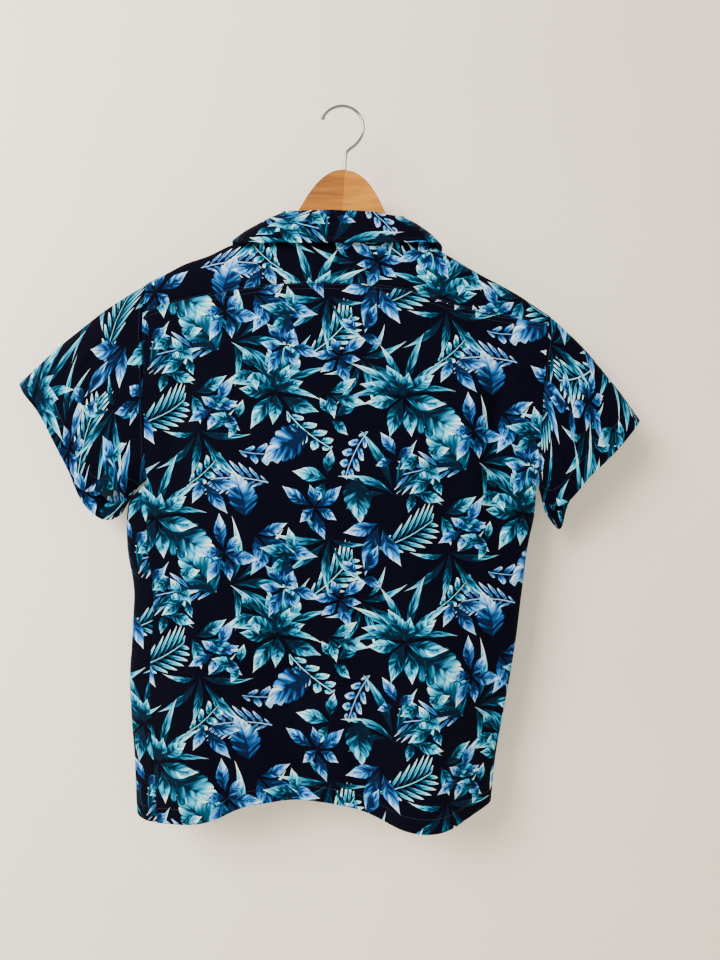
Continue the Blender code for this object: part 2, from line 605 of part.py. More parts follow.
def button(number, mat):
    """A flat round button on the upper front, its face turned away from the cloth."""
    z = BUTTON_TOP - BUTTON_PITCH * (number - 1)
    front = body_ring(ring_angle(CENTRE_X, z), np.float64(z), -1)
    off = PLACKET_STEP + WALL / 2 + BUTTON_GAP + BUTTON_THICK / 2
    bm = bmesh.new()
    bmesh.ops.create_cone(bm, cap_ends=True, segments=20, radius1=BUTTON_RADIUS,
                          radius2=BUTTON_RADIUS, depth=BUTTON_THICK)
    mesh = bpy.data.meshes.new(f"button_{number}")
    bm.to_mesh(mesh)
    bm.free()
    obj = add_object(f"button_{number}", mesh, mat)
    obj.rotation_euler = (math.pi / 2, 0, 0)
    obj.location = (CENTRE_X, front[1] - off, z)
    rim = obj.modifiers.new("rim", "BEVEL")
    rim.width = 0.0006
    rim.segments = 1


# ---------------------------------------------------------------- the shirt
clear_scene()
SHIRT = bpy.data.collections.new("hawaiian_shirt")
bpy.context.scene.collection.children.link(SHIRT)

CLOTH = material("printed_cloth", (0.03, 0.08, 0.13), 0.85)
BEECH = material("hanger_wood", (0.62, 0.36, 0.14), 0.45)
CHROME = material("hook_chrome", (0.72, 0.73, 0.75), 0.18, metallic=1.0)
SHELL = material("button_resin", (0.05, 0.06, 0.10), 0.35)

yoke = yoke_grid()
fronts = {1: front_grid(1), -1: front_grid(-1)}
sheet("back_panel", back_panel_grid(), CLOTH)
sheet("yoke", yoke, CLOTH)
sheet("front_left", fronts[1], CLOTH)
sheet("front_right", fronts[-1], CLOTH)
sheet("sleeve_left", sleeve_grid(1), CLOTH, closed=True)
sheet("sleeve_right", sleeve_grid(-1), CLOTH, closed=True)
sheet("collar", collar_grid(yoke, fronts), CLOTH)
for number in range(1, BUTTON_COUNT + 1):
    button(number, SHELL)
hanger_half("hanger_left", 1, BEECH)
hanger_half("hanger_right", -1, BEECH)
hanger_hook(CHROME)
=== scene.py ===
"""The looks of a printed camp shirt that hangs from a wooden hanger, seen from its back.

Metres, +Z up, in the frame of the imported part: the origin is the inside of the hook's
crown, the shirt's back faces +Y and the wearer's left is +X.
"""
# %% [markdown]
# # The frame
# The imported part already fixes how big the shirt is and where every piece hangs. It is
# loaded first and its solids are kept, to place the buttons and to be hidden under finer pieces.
# Everything below is a finer surface laid on the same form.

# %% Load the frame
import math

import bpy
import numpy as np
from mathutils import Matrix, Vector


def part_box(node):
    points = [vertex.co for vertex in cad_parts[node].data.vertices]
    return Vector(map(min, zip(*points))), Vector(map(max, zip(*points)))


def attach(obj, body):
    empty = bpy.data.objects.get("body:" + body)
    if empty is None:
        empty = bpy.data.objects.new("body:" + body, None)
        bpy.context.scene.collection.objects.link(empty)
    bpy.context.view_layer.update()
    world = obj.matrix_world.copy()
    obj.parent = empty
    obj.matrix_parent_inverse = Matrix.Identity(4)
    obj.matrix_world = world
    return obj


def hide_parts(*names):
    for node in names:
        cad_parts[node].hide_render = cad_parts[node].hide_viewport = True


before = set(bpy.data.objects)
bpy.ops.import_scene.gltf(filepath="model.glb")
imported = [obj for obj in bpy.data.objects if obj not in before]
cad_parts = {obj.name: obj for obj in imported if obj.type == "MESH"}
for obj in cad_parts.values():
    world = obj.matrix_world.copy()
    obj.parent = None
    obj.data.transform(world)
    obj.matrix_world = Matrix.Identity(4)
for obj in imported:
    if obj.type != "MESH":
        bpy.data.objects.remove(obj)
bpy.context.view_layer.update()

# %% [markdown]
# # The hung form
# A shirt on a hanger is a flattened tube under a sloping ridge. The form is stated as a
# table of sections, one for each height, and as the lines that run across the shirt. A
# simulation could drape it, but the outline of a real, slightly crooked hang is easier to
# hold with sections, and it comes out the same each time.

# %% Sizes of the body
WALL = 0.0009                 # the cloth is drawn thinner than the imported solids
SEAM_GAP = 0.0002             # between two pieces that meet at a seam
SIDE_SEAM_GAP = 0.003         # the same at the left side seam, in radians of the ring
ARMHOLE_GAP = 0.0007          # the sleeves start this far outside the body
EDGE_GAP = 0.0001             # back and front stand this far off the middle plane
UNDERARM_LEVEL = -0.474       # every panel has a row of its grid at this height
NECK_HALF = 0.077             # half width of the neck opening
NECK_DEPTH = 0.0122           # half its depth, where the collar turns to face front or back
CENTRE_X = -0.002             # line of the spine, a little off the hook
YOKE_FRONT_DROP = 0.040       # how far the yoke comes down in front of the ridge
ARCH = 0.667                  # squareness of the cloth over the hanger
UNDERARM_LEFT = -0.470        # height of the bottom of each armhole
UNDERARM_RIGHT = -0.473
UNDERARM_CLEAR = 0.003        # the sleeve's own underarm ends this far above
UNDERARM_CLOSE = 0.030        # over this height the armhole draws in to its lowest point
WRAP_LEFT = 0.029             # the left front comes this far round onto the back
WRAP_DROP = 0.040             # and does so over this drop below the armhole
PLACKET_HALF = 0.016          # half the overlap of the two fronts
PLACKET_STEP = 0.0034         # the upper front stands this far off the lower one
PLACKET_FLAT = 0.030          # out to this x, coming back over the next stretch
PLACKET_SLOPE = 0.040
ACROSS_POWER = 2.6            # how squarely the body's section turns at its sides
LEAST_FOLD = 0.385
RIM_SHARE = 3                 # the large folds fade out over this part of the depth
ROUNDS = 6                    # rounds in which heights and widths settle together
SHOULDER_LEVEL = -0.24        # height that the first round starts from
NECK_LEVEL = -0.16            # height at which the neck's width is measured

# at each height: x of the two side edges, y of the middle plane, depth of the back and of
# the front from it, how deep the edge itself stays, and how square the fold there is
BODY_COLUMNS = ("z", "left", "right", "mid", "back", "front", "edge", "fold")
BODY = (
    (-0.150, 0.244, -0.250, 0.000, 0.0150, 0.0135, 0.60, 1.00),
    (-0.225, 0.244, -0.250, 0.000, 0.0160, 0.0140, 0.60, 1.00),
    (-0.265, 0.2475, -0.2565, 0.000, 0.0170, 0.0150, 0.60, 1.00),
    (-0.330, 0.246, -0.251, 0.001, 0.0200, 0.0165, 0.60, 1.00),
    (-0.400, 0.244, -0.247, 0.002, 0.0235, 0.0180, 0.56, 1.00),
    (-0.450, 0.243, -0.244, 0.003, 0.0260, 0.0190, 0.42, 0.80),
    (-0.474, 0.246, -0.243, 0.003, 0.0270, 0.0195, 0.00, 0.50),
    (-0.490, 0.262, -0.242, 0.003, 0.0275, 0.0198, 0.00, 0.42),
    (-0.512, 0.268, -0.240, 0.003, 0.0280, 0.0200, 0.00, 0.39),
    (-0.545, 0.268, -0.233, 0.003, 0.0285, 0.0200, 0.00, 0.39),
    (-0.610, 0.260, -0.224, 0.003, 0.0290, 0.0205, 0.00, 0.39),
    (-0.650, 0.261, -0.219, 0.003, 0.0290, 0.0210, 0.00, 0.39),
    (-0.705, 0.264, -0.211, 0.003, 0.0290, 0.0220, 0.00, 0.39),
    (-0.764, 0.263, -0.200, 0.003, 0.0285, 0.0230, 0.00, 0.39),
    (-0.810, 0.259, -0.192, 0.003, 0.0280, 0.0235, 0.00, 0.39),
    (-0.900, 0.254, -0.182, 0.003, 0.0270, 0.0240, 0.00, 0.39),
)

# %% Lines across the body
RIDGE = ((-0.262, -0.2655), (-0.220, -0.2360), (-0.196, -0.2235), (-0.172, -0.2110),
         (-0.152, -0.1995), (-0.123, -0.1815), (-0.100, -0.1665), (-0.085, -0.1580),
         (-0.072, -0.1515), (0.000, -0.1495), (0.072, -0.1490), (0.090, -0.1535), (0.120, -0.1680),
         (0.140, -0.1755), (0.164, -0.1865), (0.198, -0.1995), (0.220, -0.2110),
         (0.246, -0.2240))
RIDGE_NECK_RISE = 0.035       # the ridge is carried this far up across the open neck
RIDGE_NECK_HALF = 0.074
YOKE_SEAM = ((-0.262, -0.2750), (-0.163, -0.2583), (-0.132, -0.2497), (-0.090, -0.2360),
             (-0.051, -0.2300), (0.103, -0.2290), (0.152, -0.2370), (0.228, -0.2534),
             (0.262, -0.2660))
BACK_HEM = ((-0.190, -0.8640), (-0.161, -0.8760), (-0.134, -0.8860), (-0.104, -0.8890),
            (-0.075, -0.8880), (-0.040, -0.8780), (-0.015, -0.8700), (0.010, -0.8640),
            (0.037, -0.8615), (0.087, -0.8630), (0.124, -0.8680), (0.155, -0.8800),
            (0.210, -0.8850), (0.235, -0.8870), (0.262, -0.8780))
FRONT_HEM = ((-0.190, -0.8600), (-0.100, -0.8640), (0.000, -0.8500), (0.120, -0.8560),
             (0.215, -0.8830), (0.237, -0.8868), (0.262, -0.8800))

# %% The largest folds
# x_top, z_top, x_low, z_low, half_width, height and fade of each
BACK_FOLDS = (
    (0.213, -0.335, 0.209, -0.480, 0.014, -0.0060, 0.05),
    (0.190, -0.330, 0.186, -0.510, 0.016, 0.0030, 0.08),
    (-0.194, -0.310, -0.184, -0.550, 0.014, -0.0065, 0.06),
    (-0.168, -0.330, -0.160, -0.570, 0.017, 0.0030, 0.08),
    (-0.105, -0.520, -0.112, -1.160, 0.045, 0.0240, 0.27),
    (-0.030, -0.560, -0.022, -1.160, 0.030, -0.0080, 0.24),
    (0.055, -0.500, 0.060, -1.160, 0.050, -0.0120, 0.27),
    (0.185, -0.540, 0.190, -1.160, 0.038, 0.0110, 0.24),
    (0.110, -0.400, 0.118, -0.780, 0.022, 0.0035, 0.14),
    (-0.075, -0.340, -0.082, -0.660, 0.024, 0.0030, 0.14),
)
FRONT_FOLDS = (
    (0.200, -0.310, 0.190, -0.580, 0.018, 0.0050, 0.10),
    (-0.190, -0.310, -0.180, -0.580, 0.018, 0.0055, 0.10),
    (0.120, -0.480, 0.128, -1.160, 0.030, -0.0080, 0.24),
    (-0.090, -0.500, -0.098, -1.160, 0.034, -0.0090, 0.24),
    (0.040, -0.580, 0.050, -1.160, 0.028, 0.0060, 0.24),
)

# %% Sleeve hems, neck line and collar
SLEEVE_COLUMNS = ("share", "x", "y", "z")
SLEEVE_HEM_LEFT = (
    (0.00, 0.405, 0.000, -0.3475), (0.05, 0.396, 0.009, -0.3590),
    (0.13, 0.378, 0.014, -0.3800), (0.27, 0.346, 0.018, -0.4370),
    (0.37, 0.319, 0.019, -0.4800), (0.43, 0.298, 0.016, -0.4810),
    (0.47, 0.280, 0.009, -0.4800), (0.50, 0.272, 0.000, -0.4900),
    (0.54, 0.278, -0.008, -0.5080), (0.60, 0.303, -0.011, -0.5180),
    (0.65, 0.326, -0.014, -0.5020), (0.74, 0.352, -0.016, -0.4500),
    (0.87, 0.382, -0.014, -0.3900), (1.00, 0.405, 0.000, -0.3475),
)
SLEEVE_HEM_RIGHT = (
    (0.00, -0.374, 0.000, -0.3930), (0.06, -0.366, 0.009, -0.4010),
    (0.16, -0.341, 0.013, -0.4310), (0.28, -0.308, 0.016, -0.4620),
    (0.40, -0.279, 0.013, -0.4950), (0.46, -0.267, 0.006, -0.5000),
    (0.50, -0.254, 0.000, -0.4960), (0.54, -0.258, -0.007, -0.5090),
    (0.58, -0.275, -0.010, -0.5300), (0.63, -0.286, -0.013, -0.5010),
    (0.74, -0.312, -0.016, -0.4650), (0.87, -0.345, -0.014, -0.4300),
    (1.00, -0.374, 0.000, -0.3930),
)
SLEEVE_BULGE = 0.006          # how far the middle of the sleeve stands above a straight line
SLEEVE_PUFF = 0.004           # how far its two faces swell
NECK = ((0.00, 26), (0.45, 28), (0.70, 34), (0.84, 46), (0.93, 66), (0.965, 90),
        (0.985, 125), (1.00, 180))
FRONT_NECK_DEPTH = -0.236     # lowest point of the neck in front
COLLAR_COLUMNS = ("share", "stand", "lean", "belly", "left_x", "left_y", "left_z",
                  "right_x", "right_y", "right_z")
COLLAR = (
    (0.00, 0.0240, 0.0020, 0.0015, -0.002, 0.0235, -0.1775, -0.002, 0.0235, -0.1775),
    (0.12, 0.0240, 0.0020, 0.0015, 0.040, 0.0235, -0.1775, -0.040, 0.0235, -0.1775),
    (0.26, 0.0210, 0.0025, 0.0020, 0.090, 0.0225, -0.1770, -0.078, 0.0235, -0.1770),
    (0.34, 0.0140, 0.0030, 0.0030, 0.124, 0.0180, -0.1765, -0.104, 0.0235, -0.1765),
    (0.42, 0.0105, 0.0035, 0.0045, 0.137, 0.0020, -0.1678, -0.123, 0.0100, -0.1750),
    (0.52, 0.0095, 0.0045, 0.0060, 0.137, -0.0185, -0.1805, -0.126, -0.0180, -0.1850),
    (0.74, 0.0060, 0.0045, 0.0035, 0.112, -0.0225, -0.2300, -0.112, -0.0225, -0.2300),
    (1.00, 0.0030, 0.0045, 0.0010, 0.066, -0.0260, -0.2850, -0.066, -0.0260, -0.2850),
)
COLLAR_ROLL = 0.0024          # radius of the collar's fold
COLLAR_FALL = (0.32, 0.68)    # places of the two stations between the roll and the edge
COLLAR_INSET = 0.0019         # the stand rises this far inside the neck seam
COLLAR_LIFT = 0.0014          # and starts this far above it

# %% How finely each piece is drawn
SHOULDER_COLUMNS = 56         # grid columns from the neck's corner to an armhole
NECK_COLUMNS = 34             # columns of a front from the middle to the neck's corner
MIDDLE_COLUMNS = 62           # columns of the back between the corners of the neck
NECK_STEPS = 40               # steps of the yoke's neck line
ROWS_ABOVE, ROWS_BELOW = 84, 142       # rows of a panel above and below the underarm
YOKE_ROWS = 54
NECK_FIRST = 0.12             # turn of a front's second column on the neck's quarter ellipse
ARCH_POINTS, SIDE_POINTS = 12, 40      # points of an armhole over the shoulder and below
NEAR_ROWS = 40                # rows searched for a line beside an edge


# %% Curves through the tables
def column(table, names, name):
    """One named column of a table as an array."""
    return np.array([row[names.index(name)] for row in table], dtype=float)


def smooth(xs, ys, x):
    """A smooth curve through the points (xs, ys): cubic pieces whose slopes are the
    mean of the slopes on each side, held flat beyond the ends."""
    xs, ys = np.asarray(xs, float), np.asarray(ys, float)
    step = np.diff(xs)
    rise = np.diff(ys) / step
    slope = np.empty_like(ys)
    slope[1:-1] = (rise[:-1] * step[1:] + rise[1:] * step[:-1]) / (step[1:] + step[:-1])
    slope[0], slope[-1] = rise[0], rise[-1]
    x = np.clip(x, xs[0], xs[-1])
    i = np.clip(np.searchsorted(xs, x) - 1, 0, len(xs) - 2)
    t = (x - xs[i]) / step[i]
    a = ys[i] * (1 + 2 * t) * (1 - t) ** 2 + slope[i] * step[i] * t * (1 - t) ** 2
    b = ys[i + 1] * t ** 2 * (3 - 2 * t) - slope[i + 1] * step[i] * t ** 2 * (1 - t)
    return a + b


def read_table(table, names, at, *wanted):
    """Smooth curves through the wanted columns of a table, against its first column."""
    first = column(table, names, names[0])
    return [smooth(first, column(table, names, name), at) for name in wanted]


def ease(t):
    """A step with soft ends: t squared times (3 - 2 t), for t from 0 to 1."""
    return t * t * (3 - 2 * t)


def line_height(points, x):
    """Height of one of the lines across the shirt at x."""
    xs, zs = zip(*points)
    return smooth(xs, zs, x)


def body_at(name, z):
    """A column of the BODY table at height z."""
    heights = column(BODY, BODY_COLUMNS, "z")[::-1]
    return smooth(heights, column(BODY, BODY_COLUMNS, name)[::-1], z)


def ridge(x):
    """Top of the shoulders; across the neck it is carried up to shape the nape."""
    inside = np.clip(1 - (np.abs(x) / RIDGE_NECK_HALF) ** 2, 0, 1)
    return line_height(RIDGE, x) + RIDGE_NECK_RISE * inside


def folds(table, x, z):
    """Sum of the soft folds: each is a bell across its line, faded at both ends."""
    out = np.zeros(np.broadcast(x, z).shape)
    for x_top, z_top, x_low, z_low, half_width, height, fade in table:
        down = np.clip((z_top - z) / (z_top - z_low), 0, 1)
        centre = x_top + (x_low - x_top) * down
        show = np.clip((z_top - z) / fade, 0, 1) * np.clip((z - z_low) / fade, 0, 1)
        out = out + height * ease(show) * np.exp(-((x - centre) / half_width) ** 2)
    return out


# %% The body's ring
def depth_share(across, z):
    """Depth of the flattened body as a share of its greatest: 1 in the middle, falling
    as (1 - |across| ** 2.6) ** fold towards the edges at across = -1 and 1."""
    edge, fold = np.clip(body_at("edge", z), 0, 1), np.clip(body_at("fold", z), LEAST_FOLD, 1)
    return edge + (1 - edge) * np.clip(1 - np.abs(across) ** ACROSS_POWER, 0, 1) ** fold


def body_ring(angle, z, side):
    """Point of the flattened body.  Seen from above the angle runs from 0 at the middle of
    the front to 90 degrees at the left fold, 180 at the spine and 270 (or -90) at the right
    fold; side is 1 for points on the back and -1 for points on the front."""
    across = np.sin(angle)
    left, right = body_at("left", z), body_at("right", z)
    x = (left + right) / 2 + (left - right) / 2 * across
    share = depth_share(across, z)
    rim = np.clip(share * RIM_SHARE, 0, 1)
    back = body_at("back", z) * share + folds(BACK_FOLDS, x, z) * rim + EDGE_GAP
    front = body_at("front", z) * share + folds(FRONT_FOLDS, x, z) * rim + EDGE_GAP
    y = body_at("mid", z) + np.where(side > 0, back, -front)
    return np.stack([x, y, z + 0 * x], axis=-1)


def ring_angle(x, z):
    """Angle on the front half of the ring at which the body reaches x at height z."""
    left, right = body_at("left", z), body_at("right", z)
    return np.arcsin(np.clip((2 * x - left - right) / (left - right), -1, 1))


def left_seam_angle(z):
    """Angle of the left side seam: at the fold beside the armhole, round on the back below."""
    down = np.clip((UNDERARM_LEFT - z) / WRAP_DROP, 0, 1)
    width = body_at("left", z) - body_at("right", z)
    return math.pi - np.arcsin(1 - 2 * WRAP_LEFT * ease(down) / width)


def panel(angles, top_line, low_line, side_of):
    """Grid of a body panel.  angles(z) gives each column's angle at its own height z.  The
    heights run from top_line(x) to the underarms' level and on to low_line(x), settled in
    a few rounds, so that neighbouring panels have their rows at the same heights."""
    count, rows = len(angles(None)), ROWS_ABOVE + ROWS_BELOW
    z = np.repeat(np.linspace(YOKE_SEAM[0][1], BACK_HEM[0][1], rows)[:, None], count, axis=1)
    above = np.linspace(0, 1, ROWS_ABOVE)[:, None]
    below = np.linspace(0, 1, ROWS_BELOW + 1)[1:, None]
    for _ in range(ROUNDS):
        angle = np.stack([np.broadcast_to(a, rows) for a in angles(z)], axis=1)
        points = body_ring(angle, z, side_of(angle))
        top, low = top_line(points[0, :, 0]), low_line(points[-1, :, 0])
        z = np.concatenate([top + (UNDERARM_LEVEL - top) * above,
                            UNDERARM_LEVEL + (low - UNDERARM_LEVEL) * below])
    return points


# %% [markdown]
# # The yoke, the back and the fronts
# The yoke is the piece that goes over the shoulders: it starts at a seam across the back,
# climbs to the ridge that the hanger makes and comes down a little in front. The back and
# the fronts hang from it. All of them are read from the same ring, so their seams meet.

# %% Yoke
def arch(points_low, points_top, turn):
    """Points that climb from the seam to the ridge as the turn goes from 0 to 90 degrees
    and come down again beyond it, on a squared arch."""
    rise = np.sin(turn) ** ARCH
    lean = np.abs(np.cos(turn)) ** ARCH
    x = points_low[..., 0] + (points_top[..., 0] - points_low[..., 0]) * rise
    y = points_top[..., 1] + (points_low[..., 1] - points_top[..., 1]) * lean
    z = points_low[..., 2] + (points_top[..., 2] - points_low[..., 2]) * rise
    return np.stack([x, y, z], axis=-1)


def shoulder_lines(angle, drop=SEAM_GAP / 2):
    """Back seam, ridge and front seam of the yoke at front-ring angles."""
    lines = []
    for line, side in ((lambda x: line_height(YOKE_SEAM, x) + drop, 1), (ridge, 0),
                       (lambda x: ridge(x) - YOKE_FRONT_DROP + drop, -1)):
        z = np.full_like(angle, SHOULDER_LEVEL)
        for _ in range(ROUNDS):
            points = body_ring(angle, z, side or 1)
            z = line(points[:, 0])
        points[:, 2] = z
        if side == 0:
            points[:, 1] = body_at("mid", z)
        lines.append(points)
    return lines


def yoke_points(angle, turn):
    """Points of the yoke: turn 0 is its back seam, 90 degrees the ridge, 180 the front seam.
    angle has one value a column, turn one row of values for each grid row."""
    back, top, front = shoulder_lines(angle)
    behind = arch(back[None], top[None], np.minimum(turn, math.pi / 2))
    before = arch(front[None], top[None], math.pi - np.maximum(turn, math.pi / 2))
    return np.where((turn <= math.pi / 2)[..., None], behind, before)


def yoke_columns():
    """Angles of the yoke's columns and the turn at which each ends.  The neck line is the
    NECK table read as a smooth curve along its own points."""
    share, degrees = np.array(NECK).T
    at = np.linspace(0, len(NECK) - 1, NECK_STEPS + 1)
    share, degrees = (smooth(range(len(NECK)), values, at) for values in (share, degrees))
    neck = ring_angle(CENTRE_X + NECK_HALF * share, NECK_LEVEL)
    neck_right = ring_angle(CENTRE_X - NECK_HALF * share, NECK_LEVEL)
    left = np.linspace(neck[-1], math.pi / 2, SHOULDER_COLUMNS + 1)[1:]
    right = np.linspace(neck_right[-1], -math.pi / 2, SHOULDER_COLUMNS + 1)[1:]
    angle = np.concatenate([right[::-1], neck_right[:0:-1], neck, left])
    ends = np.concatenate([degrees[:0:-1], degrees])
    full = np.full(SHOULDER_COLUMNS, 180)
    return angle, np.radians(np.concatenate([full, ends, full]))


def yoke_grid():
    """Grid of the yoke: each column turns from the back seam to its own end."""
    angle, end = yoke_columns()
    turn = end[None, :] * np.linspace(0, 1, YOKE_ROWS)[:, None]
    return yoke_points(angle, turn)


# %% Back and fronts
def front_top(x):
    """Top line of the fronts: the shoulder seam, then the neck curve, a quarter ellipse."""
    corner = ridge(CENTRE_X + np.sign(x - CENTRE_X) * NECK_HALF) - YOKE_FRONT_DROP
    reach = np.clip(np.abs(x - CENTRE_X) / NECK_HALF, 0, 1)
    neck = FRONT_NECK_DEPTH + (corner - FRONT_NECK_DEPTH) * (1 - np.sqrt(1 - reach ** 2))
    shoulder = ridge(x) - YOKE_FRONT_DROP
    return np.where(reach < 1, neck, shoulder) - SEAM_GAP / 2


def back_panel_grid():
    """The back, with the yoke's own columns on the shoulders and even ones between."""
    side = np.linspace(0, 1, SHOULDER_COLUMNS + 1)
    middle = np.linspace(0, 1, MIDDLE_COLUMNS + 1)[1:-1]

    def angles(z):
        if z is None:
            return np.zeros(2 * len(side) + len(middle))
        start = left_seam_angle(z[:, 0]) + SIDE_SEAM_GAP
        left = math.pi - ring_angle(CENTRE_X + NECK_HALF, z[:, 0])
        right = math.pi - ring_angle(CENTRE_X - NECK_HALF, z[:, 0])
        end = 1.5 * math.pi
        return ([start + (left - start) * s for s in side]
                + [left + (right - left) * s for s in middle]
                + [right + (end - right) * s for s in side])

    return panel(angles, lambda x: line_height(YOKE_SEAM, x) - SEAM_GAP / 2,
                 lambda x: line_height(BACK_HEM, x), np.ones_like)


def front_grid(hand):
    """Grid of one front; hand is 1 for the wearer's left and -1 for the right."""
    lap = CENTRE_X - hand * PLACKET_HALF
    reach = NECK_HALF * np.sin(np.linspace(NECK_FIRST, math.pi / 2, NECK_COLUMNS))
    inner = np.concatenate([[lap], CENTRE_X + hand * reach])
    share = np.linspace(0, 1, SHOULDER_COLUMNS + 1)[1:]

    def angles(z):
        if z is None:
            return np.zeros(len(inner) + SHOULDER_COLUMNS)
        near = [ring_angle(x, z[:, 0]) for x in inner]
        if hand > 0:
            end = left_seam_angle(z[:, -1])
        else:
            end = np.full(len(z), -math.pi / 2)
        return near + [near[-1] + (end - near[-1]) * s for s in share]

    def side_of(angle):
        return np.where(angle > math.pi / 2 + 0.0001, 1, -1)

    points = panel(angles, front_top, lambda x: line_height(FRONT_HEM, x), side_of)
    if hand > 0:
        near = np.clip((PLACKET_FLAT - points[..., 0]) / PLACKET_SLOPE + 1, 0, 1)
        points[..., 1] -= PLACKET_STEP * ease(near)
    return points


# %% Sleeves
def length_along(points):
    """Distance along a polyline to each of its points."""
    return np.concatenate([[0], np.cumsum(np.linalg.norm(np.diff(points, axis=0), axis=1))])


def read_line(values, along, at):
    """The three columns of values, known at the distances along, read at others."""
    return np.stack([np.interp(at, along, values[:, i]) for i in range(3)], axis=-1)


def resample(points, count):
    """count points evenly spaced along a polyline."""
    along = length_along(points)
    return read_line(points, along, np.linspace(0, along[-1], count))


def armhole_ring(hand, half):
    """Closed ring just outside an armhole: from the ridge down the back to the underarm
    and up the front again, with half steps each way."""
    edge = np.array([hand * math.pi / 2])
    underarm = (UNDERARM_LEFT if hand > 0 else UNDERARM_RIGHT) + UNDERARM_CLEAR
    back, top, front = shoulder_lines(edge, drop=0)
    turn = np.linspace(math.pi / 2, 0, ARCH_POINTS)
    sides = []
    for seam, side in ((back, 1), (front, -1)):
        over = arch(seam, top, turn)
        z = np.linspace(seam[0, 2], underarm, SIDE_POINTS)[1:]
        down = body_ring(np.full_like(z, edge[0]), z, side)
        line = np.concatenate([over, down])
        close = np.clip((z[-1] - line[:, 2]) / UNDERARM_CLOSE + 1, 0, 1)
        line[:, 1] += (body_at("mid", underarm) - line[:, 1]) * close ** 3
        sides.append(resample(line, half + 1))
    ring = np.concatenate([sides[0], sides[1][-2::-1]])
    ring[:, 0] += hand * ARMHOLE_GAP
    return ring


def hem_ring(table, half):
    """The hem's closed ring, with half steps each way round."""
    at = np.linspace(0, 1, 2 * half + 1)
    return np.stack(read_table(table, SLEEVE_COLUMNS, at, "x", "y", "z"), axis=1)


def sleeve_grid(hand, half, rows):
    """A flattened tube from the armhole ring to the hem ring, its upper line bowed up and
    its two faces a little swollen."""
    inner = armhole_ring(hand, half)
    outer = hem_ring(SLEEVE_HEM_LEFT if hand > 0 else SLEEVE_HEM_RIGHT, half)
    along = np.linspace(0, 1, rows)[:, None, None]
    points = inner[None] + (outer - inner)[None] * along
    bow = np.sin(math.pi * along[..., 0])
    round_share = np.linspace(0, 2 * math.pi, 2 * half + 1)[None, :]
    top = np.clip(np.cos(round_share), 0, 1) ** 4
    points[..., 2] += SLEEVE_BULGE * bow * top
    points[..., 0] += hand * SLEEVE_BULGE * 0.6 * bow * top
    points[..., 1] += SLEEVE_PUFF * bow * np.sin(round_share)
    return points


# %% [markdown]
# # The collar
# A camp collar is one wide piece that stands a little inside the neck seam, rolls over and
# falls on the shoulders. Its section has seven stations, from the seam to the loose edge,
# and a smooth curve through them carries it round the neck.

# %% Collar
def neck_line(hand, yoke, front):
    """Seam line of the neck on one side, from the nape to the front: the yoke's neck edge,
    then the front's."""
    nape = SHOULDER_COLUMNS + NECK_STEPS
    back = yoke[-1][nape::hand][:NECK_STEPS + 1]
    return np.concatenate([back, front[0][NECK_COLUMNS - 1:0:-1]])


def collar_grid(yoke, fronts, stations):
    """The collar from one point round the nape to the other.  Each section climbs inside
    the neck seam, rolls over and falls outside to its edge."""
    at = np.linspace(0, 1, stations)
    up = np.array([0, 0, 1.0])
    stand, lean, belly = read_table(COLLAR, COLLAR_COLUMNS, at, "stand", "lean", "belly")
    halves = []
    for hand, label in ((-1, "right"), (1, "left")):
        seam = resample(neck_line(hand, yoke, fronts[hand]), stations)
        edge_columns = [f"{label}_{axis}" for axis in "xyz"]
        edge = np.stack(read_table(COLLAR, COLLAR_COLUMNS, at, *edge_columns), axis=1)
        facing = np.arcsin(np.clip(seam[:, 1] / NECK_DEPTH, -1, 1))
        out = np.stack([hand * np.cos(facing), np.sin(facing), 0 * facing], axis=1)
        inward = seam[:, :2] - (CENTRE_X, 0.0)
        inward /= np.linalg.norm(inward, axis=1)[:, None]
        base = seam - np.concatenate([inward, np.zeros((stations, 1))], axis=1) * COLLAR_INSET
        base = base + up * COLLAR_LIFT
        fold = base + up * stand[:, None] + out * lean[:, None]
        roll_in = fold - out * COLLAR_ROLL - up * COLLAR_ROLL
        roll_out = fold + out * COLLAR_ROLL - up * COLLAR_ROLL
        swell = (out + up) * belly[:, None]
        upper, lower = (roll_out * (1 - share) + edge * share + swell * 0.8
                        for share in COLLAR_FALL)
        halves.append(np.stack([base, roll_in, fold, roll_out, upper, lower, edge]))
    right, left = halves
    return np.concatenate([right[:, :0:-1], left], axis=1)


def finer(points, rows):
    """The same surface with more rows, on smooth curves through the given ones."""
    at = np.linspace(0, len(points) - 1, rows)
    flat = points.reshape(len(points), -1)
    index = np.arange(len(points))
    return np.stack([smooth(index, line, at) for line in flat.T], axis=1).reshape(
        rows, *points.shape[1:])


# %% [markdown]
# # From form to cloth
# Each piece so far is a grid of points. Cloth also needs its flat pattern: where each
# point was on the bolt, in metres. The print follows it, so a motif keeps its size over a
# fold, and the cut size of every piece can be measured. Creases are then laid on the
# pattern as soft troughs and ridges, each an uneven stroke of its own length and width.

# %% Directions on a grid
def grid_normals(points, outward=1):
    """Unit normals: the cross product of the steps down the rows and along the columns."""
    down, along = np.gradient(points, axis=0), np.gradient(points, axis=1)
    normals = np.cross(down, along) * outward
    return normals / np.maximum(np.linalg.norm(normals, axis=2, keepdims=True), 1e-9)


def arc_along(points, axis, parts):
    """Length along rows (axis 0) or columns (axis 1), counting only the given parts of
    each step: (0, 1) for x and y, (1, 2) for y and z, (0, 1, 2) for all."""
    steps = np.linalg.norm(np.diff(points[..., list(parts)], axis=axis), axis=2)
    lengths = np.cumsum(steps, axis=axis)
    return np.insert(lengths, 0, 0, axis=axis)


